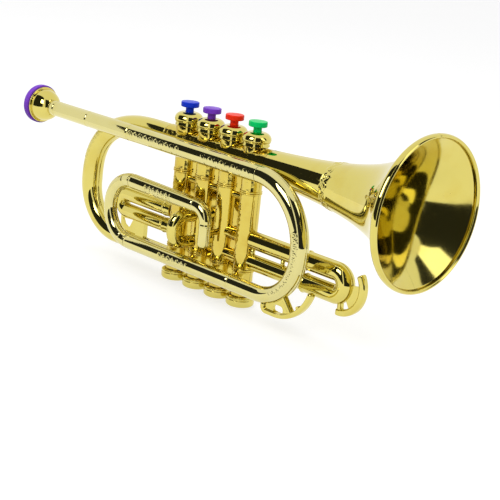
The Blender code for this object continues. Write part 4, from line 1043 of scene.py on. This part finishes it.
for number, x in enumerate(valveXs, start=1):
    valvePiece("topCap", "top_cap", "trumpet", number, topCapProfile(), gold)
    valvePiece("bottomCap", "bottom_cap", "trumpet", number, bottomCapProfile(), gold)
    valvePiece("key", "key", f"key_{number}", number, keyProfile(), keyPlastics[number - 1], 72)
    spring = addPiece(f"spring.{number}", springMesh("spring", x), wireSteel)
    placePiece(spring, "trumpet", f"spring_{number}")
    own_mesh(spring)
    for node, finish in ((f"seal_{number}", rubber), (f"reed_{number}", reedBrass)):
        nodes[node].data.materials.clear()
        nodes[node].data.materials.append(finish)
print("caps and keys made")

mouth = {"front": -149.8, "rim": 14.45, "thick": 5.8, "hole": 9.0, "cupLength": 14.2, "flange": 13.4,
         "flangeThick": 1.5, "ball": 12.0, "shankRun": 1.6, "throat": 2.4, "gap": 0.3}


# A fat rounded ring that the lips rest on.
def rimProfile():
    hole, edge, thick = mouth["hole"], mouth["rim"], mouth["thick"]
    return roundCorners([(hole, 3.0, 0), (hole, 0, 1.8), (edge, 0, 2.3), (edge, thick, 0.9),
                         (hole, thick, 0.3), (hole, 3.0, 0)], 10)[:-1]


# A flange, a ball down to the shank, r = ball cos a and h = bowl sin a / sin(last a), and the bowl inside.
def cupProfile():
    m, shank = mouth, loop["shankRadius"]
    start = m["thick"] + m["gap"]
    end, ring = start + m["cupLength"], start + m["flangeThick"]
    bowl = m["cupLength"] - m["flangeThick"] - m["shankRun"]
    last = math.acos(shank / m["ball"])
    angle = np.linspace(0.0, last, 30)
    ball = np.stack([m["ball"] * np.cos(angle), ring + 0.3 + bowl * np.sin(angle) / math.sin(last)], -1) * mm
    flange = roundCorners([(m["hole"], start + 0.4, 0), (m["hole"], start, 0.3), (m["flange"], start, 0.4),
                           (m["flange"], ring, 0.5), (m["ball"], ring, 0.15), (m["ball"], ring + 0.3, 0)])
    back = roundCorners([(shank, ring + 0.3 + bowl, 0), (shank, end, 0.3), (m["throat"], end, 0.2),
                         (m["throat"], start + 9.5, 1.5), (7.0, start + 4.8, 2.5),
                         (m["hole"], start + 0.4, 0)], 10)
    return np.concatenate([flange[:-1], ball, back[1:-1]])


mouthCentre = (fromValve(mouth["front"]), loopY, loop["pipeHeight"] * mm)
rim = addPiece("mouthpieceRim", latheMesh("rim", rimProfile(), mouthCentre, "x", 128), lipPlastic, 60)
placePiece(rim, "trumpet", "mouthpiece_rim")
cup = addPiece("mouthpieceCup", latheMesh("cup", cupProfile(), mouthCentre, "x", 128), gold)
placePiece(cup, "trumpet", "mouthpiece_cup")
print("mouthpiece made")


# A flat bar along a line: section |a / thick|^4 + |b / wide|^4 = 1, drawn in to a rounded end.
def barMesh(name, line, y, width, thickness, outward=1):
    path = followLine(line, 1.0, spacing=0.5 * mm, y=y, outward=outward)
    angle = np.linspace(0, 2 * np.pi, 48, endpoint=False)
    thick = np.sign(np.cos(angle)) * np.abs(np.cos(angle)) ** 0.5 * thickness / 2
    wide = np.sign(np.sin(angle)) * np.abs(np.sin(angle)) ** 0.5 * width / 2
    total = path["length"][-1]
    ends = np.minimum(path["length"], total - path["length"])
    reach = np.clip(ends / (1.2 * mm), 0, 1)
    scale = (0.68 + 0.32 * np.sqrt(1 - (1 - reach) ** 2))[:, None, None]
    section = path["across"][:, None] * thick[None, :, None] + yAxis * wide[None, :, None]
    return loftMesh(name, path["centre"][:, None] + scale * section)


# A solid bar a little fatter than a tube, to shape what meets the tube.
def tubeSolid(name, path, extra):
    angle = np.linspace(0, 2 * np.pi, 48, endpoint=False)[None, :, None]
    radius = (path["outer"] + extra)[:, None, None]
    section = path["across"][:, None] * np.cos(angle) + path["sideways"] * np.sin(angle)
    return loftMesh(name, path["centre"][:, None] + radius * section)


# A flat plate: its outline in (x, z), drawn once at each side of y.
def plateMesh(name, outline, y, width):
    line = toWorld(outline)
    levels = [np.full(len(line), y + side * width / 2) for side in (-1, 1)]
    return loftMesh(name, np.stack([np.stack([line[:, 0], level, line[:, 1]], -1) for level in levels]))


# A web that follows an arc: centre + r * (cos a, sin a), r from near to far, a from start to end in degrees.
def arcWeb(name, centre, near, far, start, end, width):
    angle = np.radians(np.linspace(start, end, 40))[:, None]
    reach, across = np.array([near, far, far, near]), np.array([-1, -1, 1, 1]) * width / 2
    x, z = fromValve(centre[0] + reach * np.cos(angle)), (centre[1] + reach * np.sin(angle)) * mm
    return loftMesh(name, np.stack([x, np.broadcast_to(across, x.shape), z], -1))


# A point on a circle, at an angle in radians from +X up towards +Z.
def onCircle(centre, radius, angle):
    return centre[0] + radius * math.cos(angle), centre[1] + radius * math.sin(angle)


hooks = {"width": 5.2 * mm, "thickness": 3.7 * mm, "gap": 0.05 * mm, "strut": 4.4 * mm}
lowHook = {
    "level": 12.3, "turn": 30.7, "start": 112.0, "flatEnd": 120.5, "corner": 3.2, "tip": (2.2, 17.5),
    "sweep": 74.5, "strutShare": 0.39, "strutReach": 0.35, "strutThick": 3.2 * mm, "plate": 2.4 * mm,
    "holes": (121.6, 123.3, 125.0), "holeHeight": 16.4, "holeRadius": 2.9, "holeReach": 4 * mm,
    "pin": 1.35 * mm, "pinAngle": -45.6, "pinInset": 2.0, "pinReach": 1.9 * mm,
}
tailHook = {"centre": (157.7, 40.6), "radius": 18.2, "turn": (184, 55), "thickness": 4.9 * mm,
            "strutAngle": -86, "strutThick": 3.0 * mm, "web": 1.8 * mm, "webReach": 0.4,
            "webAngles": (-58, 12)}


# A hooked bar under the front bow, held by a strut and a thin plate with a long hole, and a little pin.
def lowerHook():
    h, level, turn = lowHook, lowHook["level"], lowHook["turn"]
    start, flatEnd = h["start"], h["flatEnd"]
    centre, foot = (flatEnd, level + turn), math.radians(-90)
    corner = turnLine(start + 1.0, level + h["corner"], h["corner"], -90, -180, 24)
    line = joinLines([[start - h["tip"][0], h["tip"][1]]], corner, [[flatEnd, level]],
                     turnLine(*centre, turn, 180, 180 - h["sweep"]))
    bar = barMesh("lowerHook", toWorld(line), loopY, hooks["width"], hooks["thickness"], -1)
    angle = math.radians(-90 + h["sweep"] * h["strutShare"])
    outer = np.array(onCircle(centre, turn, angle))
    bow = np.array([loop["reach"] - loop["lowTurn"], loop["lowHeight"] + loop["lowTurn"]])
    inner = outer + (bow - outer) * h["strutReach"]
    strut = barMesh("strut", toWorld([outer, inner]), loopY, hooks["strut"], h["strutThick"])
    bend = [onCircle(centre, turn, foot + (angle - foot) * number / 8) for number in range(1, 8)]
    outline = [(start, level), (flatEnd, level), *bend, outer, inner, (start, loop["lowHeight"])]
    plate = plateMesh("plate", outline, loopY, h["plate"])
    holes = []
    for x in h["holes"]:
        near, far = [(fromValve(x), loopY + side * h["holeReach"], h["holeHeight"] * mm) for side in (-1, 1)]
        holes.append(rodMesh("hole", near, far, h["holeRadius"] * mm))
    x, z = toWorld([onCircle(centre, turn - h["pinInset"], math.radians(h["pinAngle"]))])[0]
    pin = rodMesh("pin", (x, loopY - h["pinReach"], z), (x, loopY + h["pinReach"], z), h["pin"], 32)
    bowSolid = tubeSolid("bowSolid", bowPath, hooks["gap"])
    return combine("lowerHook", bar, [strut, plate, pin], [bowSolid] + holes)


# A curved bar round the end of the third slide, joined to it by a strut and a thin web.
def endHook():
    t, centre, radius = tailHook, tailHook["centre"], tailHook["radius"]
    line = toWorld(turnLine(*centre, radius, *t["turn"]))
    bar = barMesh("endHook", line, 0.0, hooks["width"], t["thickness"], -1)
    ends = [onCircle(centre, share * radius, math.radians(t["strutAngle"])) for share in (1.0, 0.5)]
    strut = barMesh("strut", toWorld(ends), 0.0, hooks["strut"], t["strutThick"])
    web = arcWeb("web", centre, radius * t["webReach"], radius, *t["webAngles"], t["web"])
    return combine("endHook", bar, [strut, web], [tubeSolid("slideSolid", thirdPath, hooks["gap"])])


placePiece(addPiece("lowerHook", lowerHook(), gold), "trumpet", "lower_hook")
placePiece(addPiece("endHook", endHook(), gold), "trumpet", "end_hook")


brace = {
    "low": (fromValve(-45), -2 * mm, 14.5 * mm), "high": (fromValve(-36), 2 * mm, 36 * mm),
    "web": [(-63, 21), (-42, 18), (-42, 33), (-64, 33)], "webThick": 1.6 * mm, "holeWidth": 6 * mm,
    "hole": [(-61.5, 29.6), (-59.0, 25.2), (-56.0, 23.6), (-53.0, 24.6), (-50.0, 30.2)],
}


# The brace widens towards the first slide's turn as a thin web with a hole, flat above and rounded below.
def slideBrace():
    post = boxMesh("slideBrace", brace["low"], brace["high"])
    web = plateMesh("web", brace["web"], 0.0, brace["webThick"])
    hole = plateMesh("hole", brace["hole"], 0.0, brace["holeWidth"])
    tubes = [tubeSolid("tube", path, hooks["gap"]) for path in (firstPath, rearPath, rearLower)]
    return combine("slideBrace", post, [web], [hole] + tubes)


placePiece(addPiece("slideBrace", slideBrace(), gold), "trumpet", "slide_brace")
print("hooks made")

studio = {
    "floorColour": (0.42, 0.42, 0.42, 1.0), "floorLift": 0.66, "worldLight": 0.62,
    "front": (-1.6, -0.68, 0.30, -0.68), "frontTop": 1.55, "darkGlow": 0.026,
    "right": [(0.30, -0.37), (0.43, -0.29), (0.52, -0.18), (0.57, 0.02), (0.60, 0.22)], "rightTop": 0.84,
    "whiteX": -0.395, "whiteDisc": (-0.01, 0.07, 0.308),
    "farX": -0.80,
    "farCard": [(-0.62, 0.0), (-0.20, 0.0), (-0.20, 0.62), (-0.36, 0.60), (-0.50, 0.50), (-0.62, 0.30)],
    "softbox": (-0.06, 0.14, 0.25, 0.52), "softboxY": -0.40, "softboxStrength": 7.0,
    "sideX": 0.55, "sideStrength": 1.8, "wedge": (0.222, 0.442, 0.23, 0.90),
    "sideSoft": [(-0.134, 0.555), (-0.047, 0.38), (0.129, 0.17), (0.222, 0.19), (0.222, 0.845),
                 (-0.134, 0.81)],
}
white = (1.0, 1.0, 1.0, 1.0)


# 1 for rays from the camera and for mirror and see-through rays, 0 for the light that falls on things.
def seenOnly(tree):
    path = tree.nodes.new("ShaderNodeLightPath")
    seen = mathNode(tree, "MAXIMUM", path.outputs["Is Camera Ray"], path.outputs["Is Glossy Ray"])
    return mathNode(tree, "MAXIMUM", seen, path.outputs["Is Transmission Ray"])


def stagePlane(name, corners, material):
    mesh = bpy.data.meshes.new(name)
    mesh.from_pydata(corners, [], [tuple(range(len(corners)))])
    mesh.materials.append(material)
    obj = bpy.data.objects.new(name, mesh)
    bpy.context.scene.collection.objects.link(obj)
    return obj


# Pale matt floor, lifted a little where it is seen so that it reads as white.
def floorMaterial():
    material, tree = newMaterial("paleFloor")
    lift = mathNode(tree, "MULTIPLY", seenOnly(tree), studio["floorLift"])
    fillInputs(tree, tree.nodes["Principled BSDF"], {
        "Base Color": studio["floorColour"], "Roughness": 0.9, "Specular IOR Level": 0.1,
        "Emission Color": white, "Emission Strength": lift,
    })
    return material


def glowMaterial(name, colour, strength):
    material, tree = newMaterial(name)
    tree.nodes.remove(tree.nodes["Principled BSDF"])
    glow = addNode(tree, "ShaderNodeEmission", {"Color": colour, "Strength": strength})
    fillInputs(tree, tree.nodes["Material Output"], {"Surface": glow.outputs[0]})
    return material


# A card that the trumpet mirrors, but that neither blocks the view nor changes the soft light.
def mirroredCard(name, corners, material):
    card = stagePlane(name, corners, material)
    for kind in ("camera", "diffuse", "shadow", "transmission", "volume_scatter"):
        setattr(card, f"visible_{kind}", False)


# A card across the trumpet's length, drawn in (y, z).
def crossCard(name, x, outline, material):
    mirroredCard(name, [(x, y, z) for y, z in outline], material)


# A standing card between two floor places, from one height to another.
def uprightCard(name, start, end, foot, head, material):
    mirroredCard(name, [(*start, foot), (*end, foot), (*end, head), (*start, head)], material)


# The end wall: y = middle + R cos a and z = middle + R sin a, cut off level at the floor.
def discOutline(middleY, middleZ, radius):
    low = math.asin(middleZ / radius)
    return [onCircle((middleY, middleZ), radius, angle) for angle in np.linspace(-low, math.pi + low, 64)]


# Dark cards give the tubes their stripes. The disc ends the dark bands square, and the far card ends
# the one on the bell at its scrollwork. The soft and side cards make the highlights.
def placeCards():
    s = studio
    dark = glowMaterial("darkCard", (0.9, 0.95, 1.0, 1.0), s["darkGlow"])
    whiteGlow = glowMaterial("whiteCard", white, 1.0)
    softGlow = glowMaterial("softGlow", white, s["softboxStrength"])
    sideGlow = glowMaterial("sideGlow", white, s["sideStrength"])
    uprightCard("frontCard", s["front"][:2], s["front"][2:], 0, s["frontTop"], dark)
    for number, (start, end) in enumerate(zip(s["right"], s["right"][1:])):
        uprightCard(f"rightCard.{number}", start, end, 0, s["rightTop"], dark)
    crossCard("whiteCard", s["whiteX"], discOutline(*s["whiteDisc"]), whiteGlow)
    crossCard("farCard", s["farX"], s["farCard"], whiteGlow)
    low, high, foot, head = s["softbox"]
    uprightCard("softCard", (low, s["softboxY"]), (high, s["softboxY"]), foot, head, softGlow)
    crossCard("sideSoft", s["sideX"], s["sideSoft"], sideGlow)
    low, high, foot, head = s["wedge"]
    uprightCard("wedge", (s["sideX"], low), (s["sideX"], high), foot, head, dark)


# Soft even light, and pure white where the room is seen or mirrored.
def makeWorld():
    world = bpy.data.worlds.new("studioRoom")
    bpy.context.scene.world = world
    world.use_nodes = True
    tree = world.node_tree
    light = tree.nodes["Background"]
    fillInputs(tree, light, {"Color": white, "Strength": studio["worldLight"]})
    seen = addNode(tree, "ShaderNodeBackground", {"Color": white, "Strength": 1.0})
    mix = addNode(tree, "ShaderNodeMixShader", {0: seenOnly(tree), 1: light.outputs[0], 2: seen.outputs[0]})
    fillInputs(tree, tree.nodes["World Output"], {"Surface": mix.outputs[0]})


def softLamp(name, place, target, size, power):
    data = bpy.data.lights.new(name, "AREA")
    data.shape, data.size, data.energy = "SQUARE", size, power
    lamp = bpy.data.objects.new(name, data)
    lamp.location = place
    lamp.rotation_euler = (Vector(target) - Vector(place)).to_track_quat("-Z", "Y").to_euler()
    lamp.visible_glossy = False
    bpy.context.scene.collection.objects.link(lamp)


stagePlane("floor", [(-4, -4, 0), (4, -4, 0), (4, 4, 0), (-4, 4, 0)], floorMaterial())
placeCards()
makeWorld()
lampTarget = (0, 0, 0.05)
softLamp("keyLamp", (0.35, -0.9, 1.0), lampTarget, 0.9, 7.0)
softLamp("topLamp", (-0.4, 0.2, 1.4), lampTarget, 1.2, 6.0)

view = {"place": (0.67715, -0.66360, 0.30030), "azimuth": 43.93, "elevation": 15.74, "roll": 6.05,
        "lens": 100.8}


# The line of sight by its angles, in degrees: round from -Y towards +X, up from level, and the roll about it.
def makeCamera():
    az, el, roll = (math.radians(view[key]) for key in ("azimuth", "elevation", "roll"))
    back = Vector((math.sin(az) * math.cos(el), -math.cos(az) * math.cos(el), math.sin(el)))
    right = Vector((math.cos(az), math.sin(az), 0))
    up = back.cross(right)
    turnedRight = math.cos(roll) * right + math.sin(roll) * up
    turnedUp = -math.sin(roll) * right + math.cos(roll) * up
    data = bpy.data.cameras.new("camera")
    data.lens, data.sensor_width, data.sensor_fit = view["lens"], 36.0, "AUTO"
    data.clip_start = 0.01
    camera = bpy.data.objects.new("camera", data)
    bpy.context.scene.collection.objects.link(camera)
    camera.matrix_world = Matrix((turnedRight, turnedUp, back)).transposed().to_4x4()
    camera.matrix_world.translation = Vector(view["place"])
    bpy.context.scene.camera = camera


makeCamera()
bpy.context.scene.view_settings.view_transform = "Standard"
print("studio made")
